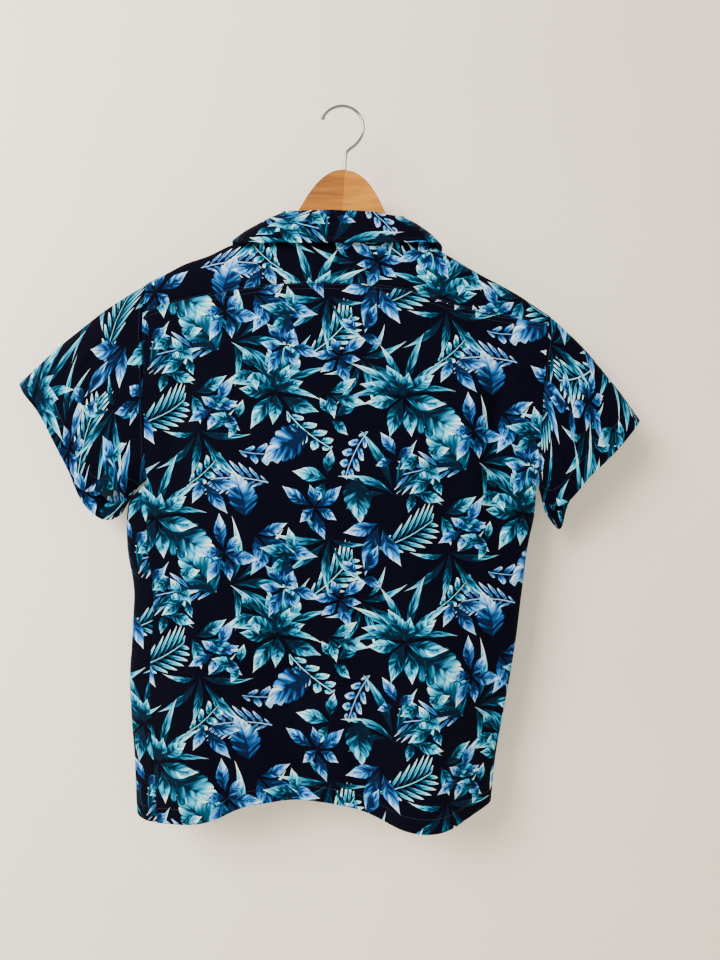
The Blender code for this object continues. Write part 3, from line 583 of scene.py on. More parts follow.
def pattern(across, down, zero_column, shift=(0, 0)):
    """Flat pattern coordinates with the given column at zero, moved on the bolt by shift."""
    across = across - across[:, zero_column:zero_column + 1]
    return np.stack([across + shift[0], down + 0 * across + shift[1]], axis=2)


# %% Creases
def creases(flat, strokes):
    """Height of all the creases at each point of the pattern.  A stroke runs from
    (u0, v0) to (u1, v1), bowed sideways by bow; its section is exp(-(off / width) ** 2),
    steeper on one side, and it fades as sin(pi * t) ** 0.7 along its length."""
    out = np.zeros(flat.shape[:2])
    for u0, v0, u1, v1, width, height, bow in strokes:
        run = np.array([u1 - u0, v1 - v0])
        length = np.hypot(*run)
        run /= length
        offset = flat - (u0, v0)
        t = offset @ run / length
        side = offset @ np.array([-run[1], run[0]]) - bow * 4 * t * (1 - t)
        fade = np.sin(math.pi * np.clip(t, 0, 1)) ** 0.7
        reach = np.where(side > 0, width, 0.6 * width)
        out += height * fade * np.exp(-(side / reach) ** 2)
    return out


def ripple(flat, size=1.0):
    """A faint unevenness all over the cloth: four crossed waves of unlike lengths."""
    u, v = flat[..., 0] / size, flat[..., 1] / size
    return 0.00032 * size * (np.sin(61 * u + 9 * v + 1.3 * np.sin(23 * v))
                             + np.sin(37 * v - 21 * u + 1.7 * np.sin(31 * u))
                             + 0.7 * np.sin(103 * u + 47 * v) * np.sin(29 * v - 1)
                             + 0.6 * np.sin(84 * v - 55 * u + 2))


def pucker(flat_edge, pitch=0.011, height=0.00035):
    """Small gathers beside a stitched edge, at each distance along it."""
    wave = np.sin(2 * math.pi * flat_edge / pitch + 2.1 * np.sin(flat_edge * 71))
    return height * wave * (0.6 + 0.4 * np.sin(flat_edge * 43))


# %% Lines beside an edge, and turned hems
EDGES = {"low": (False, True), "top": (False, False), "start": (True, False), "end": (True, True)}


def from_edge(grid, edge):
    """The grid turned so that the edge is its first row."""
    sideways, reverse = EDGES[edge]
    turned = grid.transpose(1, 0, 2) if sideways else grid
    return turned[::-1] if reverse else turned


def line_at(grid, points, distance, edge):
    """Values of a grid along the line at a distance in from an edge, measured on the
    points: the row that it falls in is found for each column, and blended."""
    values, near = from_edge(grid, edge), from_edge(points, edge)[:NEAR_ROWS]
    along = arc_along(near, 0, (0, 1, 2))
    low = np.clip((along <= distance).sum(axis=0) - 1, 0, len(near) - 2)
    columns = np.arange(near.shape[1])
    first, last = along[low, columns], along[low + 1, columns]
    share = ((distance - first) / (last - first))[:, None]
    return values[low, columns] * (1 - share) + values[low + 1, columns] * share


HEM_GAP = 0.0014              # from the cloth's middle to the turned layer's
HEM_TURNS, HEM_ROWS = 4, 9    # rows of points round the edge and up the turned layer


def turned_hem(points, flat, depth, outward):
    """Adds the cloth that is turned up inside the low edge: a half circle round the edge,
    then the same surface again, moved in by the gap, up to the hem's depth."""
    normals = grid_normals(points, outward)
    drop = points[-1] - points[-2]
    drop /= np.linalg.norm(drop, axis=1, keepdims=True)
    rows, flats = [], []
    for turn in np.linspace(0, math.pi, HEM_TURNS + 1)[1:]:
        inward = normals[-1] * (1 - math.cos(turn)) * HEM_GAP / 2
        rows.append(points[-1] + drop * math.sin(turn) * HEM_GAP / 2 - inward)
        flats.append(flat[-1] + (0, turn * HEM_GAP / 2))
    for distance in np.linspace(0, depth, HEM_ROWS + 1)[1:]:
        surface = line_at(points, points, distance, "low")
        inward = line_at(normals, points, distance, "low")
        rows.append(surface - inward * HEM_GAP)
        flats.append(flat[-1] + (0, math.pi * HEM_GAP / 2 + distance))
    return np.concatenate([points, np.stack(rows)]), np.concatenate([flat, np.stack(flats)])


def stitch_lines(points, outward, *lines):
    """Points and normals of stitch lines, each given by its edge and its distance in."""
    normals = grid_normals(points, outward)
    return [(line_at(points, points, distance, edge), line_at(normals, points, distance, edge))
            for edge, distance in lines]


# %% A piece of cloth as a mesh
def new_piece(name, mesh, *finishes):
    """Gives a mesh its finishes and puts it in the scene."""
    for finish in finishes:
        mesh.materials.append(finish)
    piece = bpy.data.objects.new(name, mesh)
    bpy.context.scene.collection.objects.link(piece)
    return piece


def cloth(name, points, flat, outward, finish, wrong_side, wall, closed):
    """Puts a grid into a mesh: one quad for each cell, its pattern as the UV map, the
    print on its right side and the paler wrong side within."""
    rows, columns = points.shape[:2]
    used = columns - 1 if closed else columns
    index = np.arange(rows * used).reshape(rows, used)
    if closed:
        index = np.concatenate([index, index[:, :1]], axis=1)
    corners = [(slice(0, -1), slice(0, -1)), (slice(1, None), slice(0, -1)),
               (slice(1, None), slice(1, None)), (slice(0, -1), slice(1, None))]
    if outward < 0:
        corners = corners[::-1]
    faces = np.stack([index[corner].ravel() for corner in corners], axis=1)
    uvs = np.stack([flat[corner].reshape(-1, 2) for corner in corners], axis=1)
    mesh = bpy.data.meshes.new(name)
    mesh.from_pydata(points[:, :used].reshape(-1, 3).tolist(), [], faces.tolist())
    mesh.uv_layers.new(name="Cloth").data.foreach_set("uv", uvs.astype(np.float32).ravel())
    mesh.shade_smooth()
    piece = new_piece(name, mesh, finish, wrong_side)
    solid = piece.modifiers.new("cloth", "SOLIDIFY")
    solid.thickness = wall
    solid.offset = 0
    solid.material_offset = 1
    print(f"{name}: {rows} x {used} points")
    return piece


# %% [markdown]
# # Stitches
# A sewn line is a row of small raised beads of thread, each a few millimetres long. Every
# bead is three rings of four points, swelling in the middle, and a whole seam is one mesh.

# %% Stitch rows
STITCH = 0.0030               # from one stitch to the next
THREAD = 0.00028              # half the width of a bead of thread
BEAD_RINGS = (0.12, 0.5, 0.88)         # where the three rings of a bead stand in its step
BEAD_SWELL = (0.45, 1.0, 0.45)         # and their half widths, as shares of the thread's
BEAD_FACES = 10
BEDDED = 0.4                  # how far a bead's middle stands off the cloth, in half widths


def stitch_rows(name, lines, finish, pitch=STITCH, thread=THREAD):
    """Beads along (points, normals) lines: even steps along each line, each bead three
    rings of four corners, the middle one as wide as the thread and the others less."""
    verts, faces = [], []
    for points, normals in lines:
        along = length_along(points)
        count = max(int(along[-1] / pitch), 1)
        at = (np.arange(count)[:, None] + np.array(BEAD_RINGS)) * pitch
        spot, up = read_line(points, along, at), read_line(normals, along, at)
        run = spot[:, 2] - spot[:, 0]
        run /= np.maximum(np.linalg.norm(run, axis=1, keepdims=True), 1e-9)
        side = np.cross(up, run[:, None])
        swell = np.array(BEAD_SWELL)[None, :, None, None] * thread
        corner = np.stack([side, up, -side, -up], axis=2)
        ring = spot[:, :, None] + up[:, :, None] * (WALL / 2 + thread * BEDDED) + corner * swell
        start = sum(len(v) for v in verts)
        base = start + 12 * np.arange(count)[:, None]
        quads = [[r * 4 + k, r * 4 + (k + 1) % 4, r * 4 + 4 + (k + 1) % 4, r * 4 + 4 + k]
                 for r in range(2) for k in range(4)]
        quads += [[3, 2, 1, 0], [8, 9, 10, 11]]
        verts.append(ring.reshape(-1, 3))
        faces.append((base[:, :, None] + np.array(quads)[None]).reshape(-1, 4))
    mesh = bpy.data.meshes.new(name)
    mesh.from_pydata(np.concatenate(verts).tolist(), [], np.concatenate(faces).tolist())
    mesh.shade_smooth()
    print(f"{name}: {sum(len(f) for f in faces) // BEAD_FACES} stitches")
    return new_piece(name, mesh, finish)


# %% [markdown]
# # Shader helpers
# Every finish is a small tree of nodes. A few helpers keep the trees readable: one puts a
# node down and feeds it, some wrap the sums and blends that come up most, and two open a
# node group with named inputs and outputs and put it in a tree.

# %% Nodes
def put(tree, kind, *values, out=0, **settings):
    """Puts a node in a tree, sets it up and feeds its inputs in order: a socket is linked,
    None is left alone and anything else becomes the input's value."""
    made = tree.nodes.new(kind)
    for key, value in settings.items():
        setattr(made, key, value)
    for socket, value in zip(made.inputs, values):
        if isinstance(value, bpy.types.NodeSocket):
            tree.links.new(value, socket)
        elif value is not None:
            socket.default_value = value
    return made.outputs[out]


def maths(tree, operation, *values, clamp=False):
    return put(tree, "ShaderNodeMath", *values, operation=operation, use_clamp=clamp)


def dot(tree, a, b):
    return put(tree, "ShaderNodeVectorMath", a, b, operation="DOT_PRODUCT", out=1)


def blend_vectors(tree, share, under, over):
    return put(tree, "ShaderNodeMix", share, None, None, None, under, over,
               data_type="VECTOR", out=1)


def blend_colours(tree, share, under, over):
    return put(tree, "ShaderNodeMix", share, None, None, None, None, None, under, over,
               data_type="RGBA", out=2)


def new_group(name, inputs, outputs):
    """A shader group; inputs and outputs are (label, kind) pairs, kind being Float, Vector
    or Color.  Returns the tree, its inputs by label and its output sockets by label."""
    tree = bpy.data.node_groups.new(name, "ShaderNodeTree")
    for label, kind in inputs:
        tree.interface.new_socket(label, in_out="INPUT", socket_type=f"NodeSocket{kind}")
    for label, kind in outputs:
        tree.interface.new_socket(label, in_out="OUTPUT", socket_type=f"NodeSocket{kind}")
    given = tree.nodes.new("NodeGroupInput").outputs
    result = tree.nodes.new("NodeGroupOutput").inputs
    return tree, {label: given[label] for label, _ in inputs}, result


def use_group(tree, group, out=0, **values):
    """Puts a group in a tree with values or sockets for its inputs, by label."""
    made = tree.nodes.new("ShaderNodeGroup")
    made.node_tree = group
    for label, value in values.items():
        socket = made.inputs[label]
        if isinstance(value, bpy.types.NodeSocket):
            tree.links.new(value, socket)
        else:
            socket.default_value = value
    return made.outputs[out]


def ink(red, green, blue):
    """An ink given as 0 to 255, as linear light for a socket."""
    parts = np.array([red, green, blue]) / 255
    linear = np.where(parts < 0.04, parts / 12.92, ((parts + 0.055) / 1.055) ** 2.4)
    return (*linear.tolist(), 1.0)


def ramp(tree, value, stops):
    """A colour ramp with (position, colour) stops."""
    colours = put(tree, "ShaderNodeValToRGB", value)
    elements = colours.node.color_ramp.elements
    for _ in stops[2:]:
        elements.new(0.5)
    for element, (position, colour) in zip(elements, stops):
        element.position = position
        element.color = colour
    return colours


# %% [markdown]
# # Leaves of the print
# The print is a jungle of painted leaves on a navy ground, repeated in a half drop: each
# column of repeats sits half a repeat lower than the one beside it. An image could hold
# it, but formulas stay sharp at any distance. A leaf is a strip of local coordinates: u
# runs from its base to its tip and v across it. Where v is smaller than the leaf's half
# width there, the leaf covers what lies under it and hands on (u, across, ink). All the
# leaves are chained this way, and only at the end is the result painted, once.

# %% One leaf
LEAF_INPUTS = [("Cloth", "Vector"), ("Along", "Vector"), ("Across", "Vector"), ("Bend", "Float"),
               ("Breadth", "Float"), ("Ink", "Float"), ("Under", "Vector")]


def leaf_frame(tree, given):
    """u, and v + bend u squared: the leaf's own coordinates, from two dot products."""
    u = dot(tree, given["Cloth"], given["Along"])
    v = dot(tree, given["Cloth"], given["Across"])
    square = maths(tree, "MULTIPLY", u, u)
    return u, square, maths(tree, "MULTIPLY_ADD", square, given["Bend"], v)


def lay_over(tree, given, result, inside, *parts):
    """Hands on (u, across, ink) where the point is inside, and what was under elsewhere."""
    over = put(tree, "ShaderNodeCombineXYZ", *parts, given["Ink"])
    tree.links.new(blend_vectors(tree, inside, given["Under"], over), result[0])
    return tree


def leaf_group():
    """Half width breadth * p * (0.25 + 3 p), with p = u (1 - u): narrow where it leaves its
    stalk, broad in the middle, pointed at the tip.  The second factor is held at 0 or
    more, so that the strip before the base and beyond the tip stays empty."""
    tree, given, result = new_group("painted leaf", LEAF_INPUTS, [("Over", "Vector")])
    u, square, v = leaf_frame(tree, given)
    lens = maths(tree, "SUBTRACT", u, square)
    swell = maths(tree, "MULTIPLY_ADD", lens, 3.0, 0.25, clamp=True)
    half = maths(tree, "MULTIPLY", maths(tree, "MULTIPLY", lens, swell), given["Breadth"])
    inside = maths(tree, "LESS_THAN", maths(tree, "ABSOLUTE", v), half)
    return lay_over(tree, given, result, inside, u, maths(tree, "DIVIDE", v, half))


# %% A split leaf
LOBES, LOBE_SLANT = 6.5, 0.20


def split_leaf_group():
    """A leaf cut into lobes: f is the distance from the middle of a lobe, measured along
    the veins; each lobe's end is rounded by f squared, and wedges open towards the edge."""
    tree, given, result = new_group("split leaf", LEAF_INPUTS, [("Over", "Vector")])
    u, square, v = leaf_frame(tree, given)
    lens = maths(tree, "SUBTRACT", u, square)
    taper = maths(tree, "MULTIPLY_ADD", u, -0.55, 1.0, clamp=True)
    half = maths(tree, "MULTIPLY", maths(tree, "MULTIPLY", lens, taper), given["Breadth"])
    across = maths(tree, "DIVIDE", v, half)
    out = maths(tree, "ABSOLUTE", across)
    vein = maths(tree, "MULTIPLY_ADD", out, -LOBE_SLANT, u)
    side = maths(tree, "MULTIPLY_ADD", maths(tree, "SIGN", v), 0.2,
                 maths(tree, "MULTIPLY", vein, LOBES))
    f = maths(tree, "ABSOLUTE", maths(tree, "SUBTRACT", maths(tree, "FRACT", side), 0.5))
    rounded = maths(tree, "MULTIPLY_ADD", maths(tree, "MULTIPLY", f, f), 0.9, out)
    wedge = maths(tree, "MULTIPLY_ADD", out, 0.16, f)
    inside = maths(tree, "MULTIPLY", maths(tree, "LESS_THAN", rounded, 1.0),
                   maths(tree, "GREATER_THAN", half, 0.0))
    inside = maths(tree, "MULTIPLY", inside, maths(tree, "LESS_THAN", wedge, 0.56))
    return lay_over(tree, given, result, inside, u, across)


# %% A frond of leaflets
FROND_INPUTS = LEAF_INPUTS + [("Leaflets", "Float"), ("Slant", "Float"), ("Fat", "Float")]
STEM = 0.008                  # half width of a frond's stem, as a share of its length


def frond_group():
    """Leaflets leave a stem in two rows.  w = u - slant |v| is where on the stem a point's
    leaflet starts, its own length is breadth * 2 (w (1 - w)) ** 0.75, and the fraction of
    w * leaflets tells how far across a leaflet the point is."""
    tree, given, result = new_group("leafy frond", FROND_INPUTS, [("Over", "Vector")])
    u, square, v = leaf_frame(tree, given)
    out = maths(tree, "ABSOLUTE", v)
    start = maths(tree, "SUBTRACT", u, maths(tree, "MULTIPLY", out, given["Slant"]))
    lens = maths(tree, "SUBTRACT", start, maths(tree, "MULTIPLY", start, start))
    reach = maths(tree, "MULTIPLY", maths(tree, "POWER", maths(tree, "MAXIMUM", lens, 0.0), 0.75),
                  given["Breadth"])
    s = maths(tree, "DIVIDE", out, maths(tree, "ADD", reach, reach))
    place = maths(tree, "MULTIPLY_ADD", maths(tree, "SIGN", v), 0.22,
                  maths(tree, "MULTIPLY", start, given["Leaflets"]))
    f = maths(tree, "SUBTRACT", maths(tree, "FRACT", place), 0.5)
    half = maths(tree, "MULTIPLY", maths(tree, "SUBTRACT", s, maths(tree, "MULTIPLY", s, s)),
                 given["Fat"])
    leaflet = maths(tree, "LESS_THAN", maths(tree, "ABSOLUTE", f), half)
    whole = maths(tree, "SUBTRACT", u, square)
    stem = maths(tree, "MULTIPLY", maths(tree, "LESS_THAN", out, STEM),
                 maths(tree, "GREATER_THAN", whole, 0.0))
    inside = maths(tree, "MAXIMUM", leaflet, stem)
    tip = maths(tree, "MAXIMUM", maths(tree, "MULTIPLY_ADD", s, 0.7, 0.3),
                maths(tree, "MULTIPLY", stem, 0.8))
    return lay_over(tree, given, result, inside, tip, maths(tree, "DIVIDE", f, half))


LEAF, SPLIT_LEAF, FROND = leaf_group(), split_leaf_group(), frond_group()

# %% [markdown]
# # Sprigs in the repeat
# A painter would set sprigs, not leaves: a rosette of broad leaves, a star of blue ones, a
# fan of blades, a few spears, a twig, a palm frond, a spray of small ovals, a split leaf.
# A frond or a split leaf is one shape, and each other kind is a short list of leaves round
# its own middle. One table scatters the sprigs over the repeat, far ones first, so that
# the later ones lie on top.

# %% The repeat
REPEAT_WIDTH, REPEAT_HEIGHT = 305.0, 297.0     # millimetres on the bolt
BARE, BLUE = 0.5, 2.0         # an ink under the first is bare ground, one over the second is
#                               blue, and one between them teal; its fraction is its tone

# turn from the sprig's own, length as a share of its size, breadth over length, bend
LEAVES = {
    "rosette": (
        (-80, 1.15, 0.17, 0.50), (-52, 1.50, 0.14, 0.32), (-26, 1.25, 0.15, 0.22),
        (-4, 1.60, 0.13, -0.16), (22, 1.30, 0.15, -0.34), (48, 1.05, 0.17, -0.50),
        (98, 1.02, 0.40, 0.20), (150, 0.80, 0.46, -0.16), (196, 1.00, 0.40, 0.16),
        (244, 0.82, 0.44, -0.12), (284, 1.00, 0.38, 0.18), (-34, 0.86, 0.44, 0.12),
        (36, 0.74, 0.50, -0.12), (4, 0.62, 0.52, 0.10)),
    "star": (
        (0, 1.10, 0.42, 0.16), (54, 0.74, 0.46, -0.14), (112, 0.98, 0.40, 0.18),
        (170, 0.70, 0.50, 0.08), (236, 1.12, 0.38, -0.16), (296, 0.76, 0.46, 0.14)),
    "fan": (
        (-88, 0.74, 0.20, 0.60), (-56, 1.10, 0.16, 0.44), (-24, 1.30, 0.15, 0.22),
        (4, 1.10, 0.17, -0.20), (34, 1.15, 0.16, -0.44), (68, 0.72, 0.20, -0.60)),
    "spears": (
        (-38, 1.00, 0.38, 0.20), (40, 0.86, 0.42, -0.22), (0, 1.25, 0.34, 0.12)),
    "twig": (
        (-70, 0.62, 0.50, 0.16), (74, 0.72, 0.46, -0.16), (4, 1.00, 0.42, 0.12)),
}
STALK = 0.10                  # leaves start this share of the sprig's size from its middle

# kind, x and y of its middle in millimetres (x to the left when worn, y down), turn in
# degrees from x towards y, size in millimetres, ink
SPRIGS = (
    ("palm", 150, 158, 187, 79, 2.35), ("palm", 258, 168, -30, 76, 1.55),
    ("palm", 40, 254, -14, 74, 1.40), ("palm", 214, 26, 196, 69, 2.55),
    ("spray", 236, 236, 52, 69, 1.60), ("spray", 30, 112, 128, 62, 2.45),
    ("spray", 112, 30, -30, 57, 1.50), ("spray", 178, 284, 14, 60, 2.30),
    ("fan", 62, 190, -82, 60, 1.45), ("fan", 168, 150, -12, 64, 1.65),
    ("fan", 128, 258, 84, 53, 1.35), ("fan", 288, 92, 128, 53, 1.50),
    ("fan", 20, 20, 60, 50, 1.60),
    ("split", 148, 160, -122, 72, 1.50), ("split", 82, 78, 36, 77, 1.45),
    ("split", 216, 208, -52, 67, 1.70), ("split", 262, 262, 158, 65, 2.40),
    ("split", 18, 168, 98, 55, 1.30), ("split", 186, 66, -96, 57, 2.50),
    ("spears", 44, 222, 112, 50, 2.50), ("spears", 214, 96, 66, 52, 2.30),
    ("spears", 118, 214, 20, 43, 1.60),
    ("twig", 96, 140, 64, 43, 1.60), ("twig", 286, 22, 196, 43, 1.65),
    ("rosette", 74, 70, -78, 50, 1.50), ("rosette", 222, 212, -64, 48, 1.45),
    ("star", 160, 112, 18, 38, 2.50), ("star", 150, 232, 52, 34, 2.60),
    ("star", 270, 56, -30, 36, 2.40), ("star", 300, 168, 80, 33, 2.55),
    ("twig", 84, 184, 20, 36, 1.40), ("twig", 290, 246, -40, 38, 1.55),
    ("twig", 176, 250, 200, 33, 1.60), ("spears", 196, 88, 30, 38, 2.35),
    ("star", 232, 156, 130, 34, 2.45), ("twig", 112, 168, 150, 36, 1.60),
    ("spears", 250, 116, 200, 38, 1.50), ("twig", 20, 290, -60, 38, 2.35),
    ("spears", 132, 20, 60, 38, 2.50), ("twig", 66, 146, -120, 34, 2.40),
    ("spears", 284, 214, 20, 36, 1.65), ("twig", 196, 186, 160, 34, 1.55),
)


def strip(x, y, turn, length):
    """The two vectors that turn lattice coordinates (s, t, 1) into a leaf's u and v: a
    rotation by turn and a division by length about its base (x, y)."""
    cos, sin = math.cos(math.radians(turn)), math.sin(math.radians(turn))
    rows = []
    for a, b in ((cos, sin), (-sin, cos)):
        rows.append(((a * REPEAT_WIDTH + b * REPEAT_HEIGHT / 2) / length,
                     b * REPEAT_HEIGHT / length, -(a * x + b * y) / length))
    return rows


TRACE = 1e-9                  # share of what is under that goes into a sprig's point


def add_sprig(tree, cloth_point, under, sprig):
    """Chains one sprig's leaves over what is under it.  The lattice is wrapped about the
    sprig's middle, so each sprig is whole wherever the repeat's edge falls.  A leaf's half
    width peaks at a quarter of Breadth, so Breadth is twice the leaf's whole width.  A
    trace of what is under, far too small to move anything, goes into the point first: it
    makes the renderer finish one sprig before the next, and so never run out of memory."""
    kind, x, y, turn, size, tone = sprig
    s = x / REPEAT_WIDTH
    t = (y - x * REPEAT_HEIGHT / 2 / REPEAT_WIDTH) / REPEAT_HEIGHT
    point = put(tree, "ShaderNodeVectorMath", under, (TRACE, TRACE, TRACE), cloth_point,
                operation="MULTIPLY_ADD")
    near = put(tree, "ShaderNodeVectorMath", point, (s + 0.5, t + 0.5, 2.0),
               (s - 0.5, t - 0.5, 0.0), operation="WRAP")
    if kind in LEAVES:
        for number, (aside, share, breadth, bend) in enumerate(LEAVES[kind]):
            away = math.radians(turn + aside)
            start = size * STALK * (1 + 0.9 * math.sin(3.7 * number + y))
            base = (x + start * math.cos(away), y + start * math.sin(away))
            along, across = strip(*base, turn + aside, size * share)
            under = use_group(tree, LEAF, Cloth=near, Along=along, Across=across, Bend=bend,
                              Breadth=2 * breadth, Under=under,
                              Ink=tone + 0.20 * math.sin(2.4 * number + x))
        return under
    along, across = strip(x, y, turn, size)
    if kind == "split":
        return use_group(tree, SPLIT_LEAF, Cloth=near, Along=along, Across=across, Bend=0.18,
                         Breadth=1.75, Ink=tone, Under=under)
    palm = kind == "palm"
    return use_group(tree, FROND, Cloth=near, Along=along, Across=across, Bend=0.22,
                     Breadth=0.46 if palm else 0.34, Ink=tone, Under=under,
                     Leaflets=8.0 if palm else 4.6, Slant=1.15 if palm else 0.55,
                     Fat=1.35 if palm else 1.5)


# %% The painted surface of a leaf
NAVY = ink(3, 3, 15)
TEAL_INKS = ((0.00, ink(4, 20, 36)), (0.22, ink(8, 62, 86)), (0.45, ink(16, 128, 164)),
             (0.66, ink(74, 184, 212)), (0.84, ink(172, 218, 220)), (1.00, ink(232, 242, 234)))
BLUE_INKS = ((0.00, ink(6, 22, 50)), (0.25, ink(18, 74, 134)), (0.50, ink(58, 132, 198)),
             (0.75, ink(142, 188, 224)), (1.00, ink(222, 234, 240)))


def paint(tree, carried):
    """Colour of the carried (u, across, ink).  A leaf is dark at its base and pale at its
    tip; streaks follow the veins, which leave the midrib at a slant; the midrib and the
    very edge are dark; and the ink's tone lifts or lowers the whole leaf."""
    u, across, tone = put(tree, "ShaderNodeSeparateXYZ", carried).node.outputs
    out = maths(tree, "MINIMUM", maths(tree, "ABSOLUTE", across), 1.8)
    vein = maths(tree, "MULTIPLY_ADD", out, -0.24, u)
    spot = put(tree, "ShaderNodeCombineXYZ", maths(tree, "MULTIPLY", vein, 11.0),
               maths(tree, "MULTIPLY", across, 1.1), maths(tree, "MULTIPLY", tone, 37.0))
    streak = put(tree, "ShaderNodeTexNoise", spot, None, 1.0, 1.0, 0.5)
    light = maths(tree, "MULTIPLY_ADD", maths(tree, "POWER", u, 1.5), 1.15, -0.60)
    light = maths(tree, "MULTIPLY_ADD", out, 0.16, light)
    light = maths(tree, "ADD", light, maths(tree, "MULTIPLY_ADD", streak, 1.5, -0.75))
    for test, value, limit, weight in (("GREATER_THAN", across, 0.0, 0.12),
                                       ("FRACT", tone, None, 0.62),
                                       ("LESS_THAN", out, 0.07, -0.20),
                                       ("GREATER_THAN", out, 0.92, -0.20)):
        light = maths(tree, "MULTIPLY_ADD", maths(tree, test, value, limit), weight, light)
    leaf = blend_colours(tree, maths(tree, "GREATER_THAN", tone, BLUE),
                         ramp(tree, light, TEAL_INKS), ramp(tree, light, BLUE_INKS))
    return blend_colours(tree, maths(tree, "GREATER_THAN", tone, BARE), NAVY, leaf)


# %% The print as one group
def print_group():
    """Pattern coordinates in metres to the lattice of the half drop, where a repeat is the
    unit square, then every sprig in turn, then the paint."""
    tree, given, result = new_group("leaf print", [("Pattern", "Vector")], [("Colour", "Color")])
    s = dot(tree, given["Pattern"], (1000 / REPEAT_WIDTH, 0, 0))
    t = dot(tree, given["Pattern"], (-500 / REPEAT_WIDTH, 1000 / REPEAT_HEIGHT, 0))
    point = put(tree, "ShaderNodeCombineXYZ", s, t, 1.0)
    carried = put(tree, "ShaderNodeCombineXYZ", 0.0, 0.0, 0.0)
    for sprig in SPRIGS:
        carried = add_sprig(tree, point, carried, sprig)
    tree.links.new(paint(tree, carried), result[0])
    return tree


PRINT = print_group()
print(f"print: {len(SPRIGS)} sprigs, {len(PRINT.nodes)} nodes")


# %% [markdown]
# # The cotton itself
# Close to, the print sits on a plain weave of fine thread, with a little crumple and the
# soft sheen of worn cotton. The weave and the crumple are heights that only bend the
# normal. Inside the shirt the same print shows through as a paler, greyer ghost.

# %% Weave and crumple
THREAD_PITCH = 0.00055        # metres from one thread to the next


def cotton_group():
    """Height of the weave, sin(u) sin(v) at the thread's pitch, plus a crumple of two
    sizes of noise over the pattern."""
    tree, given, result = new_group("cotton surface", [("Pattern", "Vector")],
                                    [("Height", "Float")])
    turns = 2 * math.pi / THREAD_PITCH
    warp = maths(tree, "SINE", dot(tree, given["Pattern"], (turns, 0, 0)))
    weft = maths(tree, "SINE", dot(tree, given["Pattern"], (0, turns, 0)))
    weave = maths(tree, "MULTIPLY", warp, weft)
    crumple = put(tree, "ShaderNodeTexNoise", given["Pattern"], None, 34.0, 3.0, 0.55)
    height = maths(tree, "MULTIPLY_ADD", crumple, 6.0, maths(tree, "MULTIPLY", weave, 0.22))
    tree.links.new(height, result[0])
    return tree


COTTON = cotton_group()


def new_finish(name, colour=(0.8, 0.8, 0.8, 1), roughness=0.5, metallic=0.0):
    """A material with one Principled shader; returns the material, its tree and shader."""
    made = bpy.data.materials.new(name)
    made.use_nodes = True
    shader = made.node_tree.nodes["Principled BSDF"]
    shader.inputs["Base Color"].default_value = colour
    shader.inputs["Roughness"].default_value = roughness
    shader.inputs["Metallic"].default_value = metallic
    return made, made.node_tree, shader


def bump(tree, height, distance, strength, shader):
    """Feeds a height to the shader's normal."""
    normal = put(tree, "ShaderNodeBump", strength, distance)
    made = normal.node
    tree.links.new(height, made.inputs["Height"])
    tree.links.new(normal, shader.inputs["Normal"])


# %% Printed cotton, right and wrong side
def printed_cotton(name, ghost):
    """The print, mixed towards a flat slate by ghost on the wrong side of the cloth."""
    made, tree, shader = new_finish(name, roughness=0.82)
    pattern = put(tree, "ShaderNodeUVMap", uv_map="Cloth")
    colour = use_group(tree, PRINT, Pattern=pattern)
    worn = put(tree, "ShaderNodeTexNoise", pattern, None, 9.0, 2.0, 0.5)
    fade = maths(tree, "MULTIPLY_ADD", worn, 0.05, ghost - 0.03, clamp=True)
    faded = blend_colours(tree, fade, colour, ink(58, 88, 116))
    tree.links.new(faded, shader.inputs["Base Color"])
    shader.inputs["Sheen Weight"].default_value = 0.012
    shader.inputs["Sheen Roughness"].default_value = 0.45
    shader.inputs["Specular IOR Level"].default_value = 0.03
    bump(tree, use_group(tree, COTTON, Pattern=pattern), 0.0004, 0.55, shader)
    return made


CLOTH = printed_cotton("printed cotton", 0.0)
WRONG_SIDE = printed_cotton("printed cotton, wrong side", 0.30)

# %% [markdown]
# # Thread, beech, chrome and resin
# The hanger is two pieces of clear-lacquered beech, glued down the middle, so its two
# halves differ a little in tone. Beech shows long soft grain and, on its face, short dark
# dashes. The hook is chromed steel and the buttons are dark resin with a faint swirl.

# %% Thread
def thread_finish():
    """Navy sewing thread: a fine twist across each bead."""
    made, tree, shader = new_finish("sewing thread", roughness=0.7)
    place = put(tree, "ShaderNodeTexCoord", out=3)
    twist = put(tree, "ShaderNodeTexNoise", place, None, 3000.0, 1.0, 0.5)
    tree.links.new(ramp(tree, twist, ((0.3, ink(12, 15, 34)), (0.7, ink(34, 40, 66)))),
                   shader.inputs["Base Color"])
    return made


THREAD_FINISH = thread_finish()


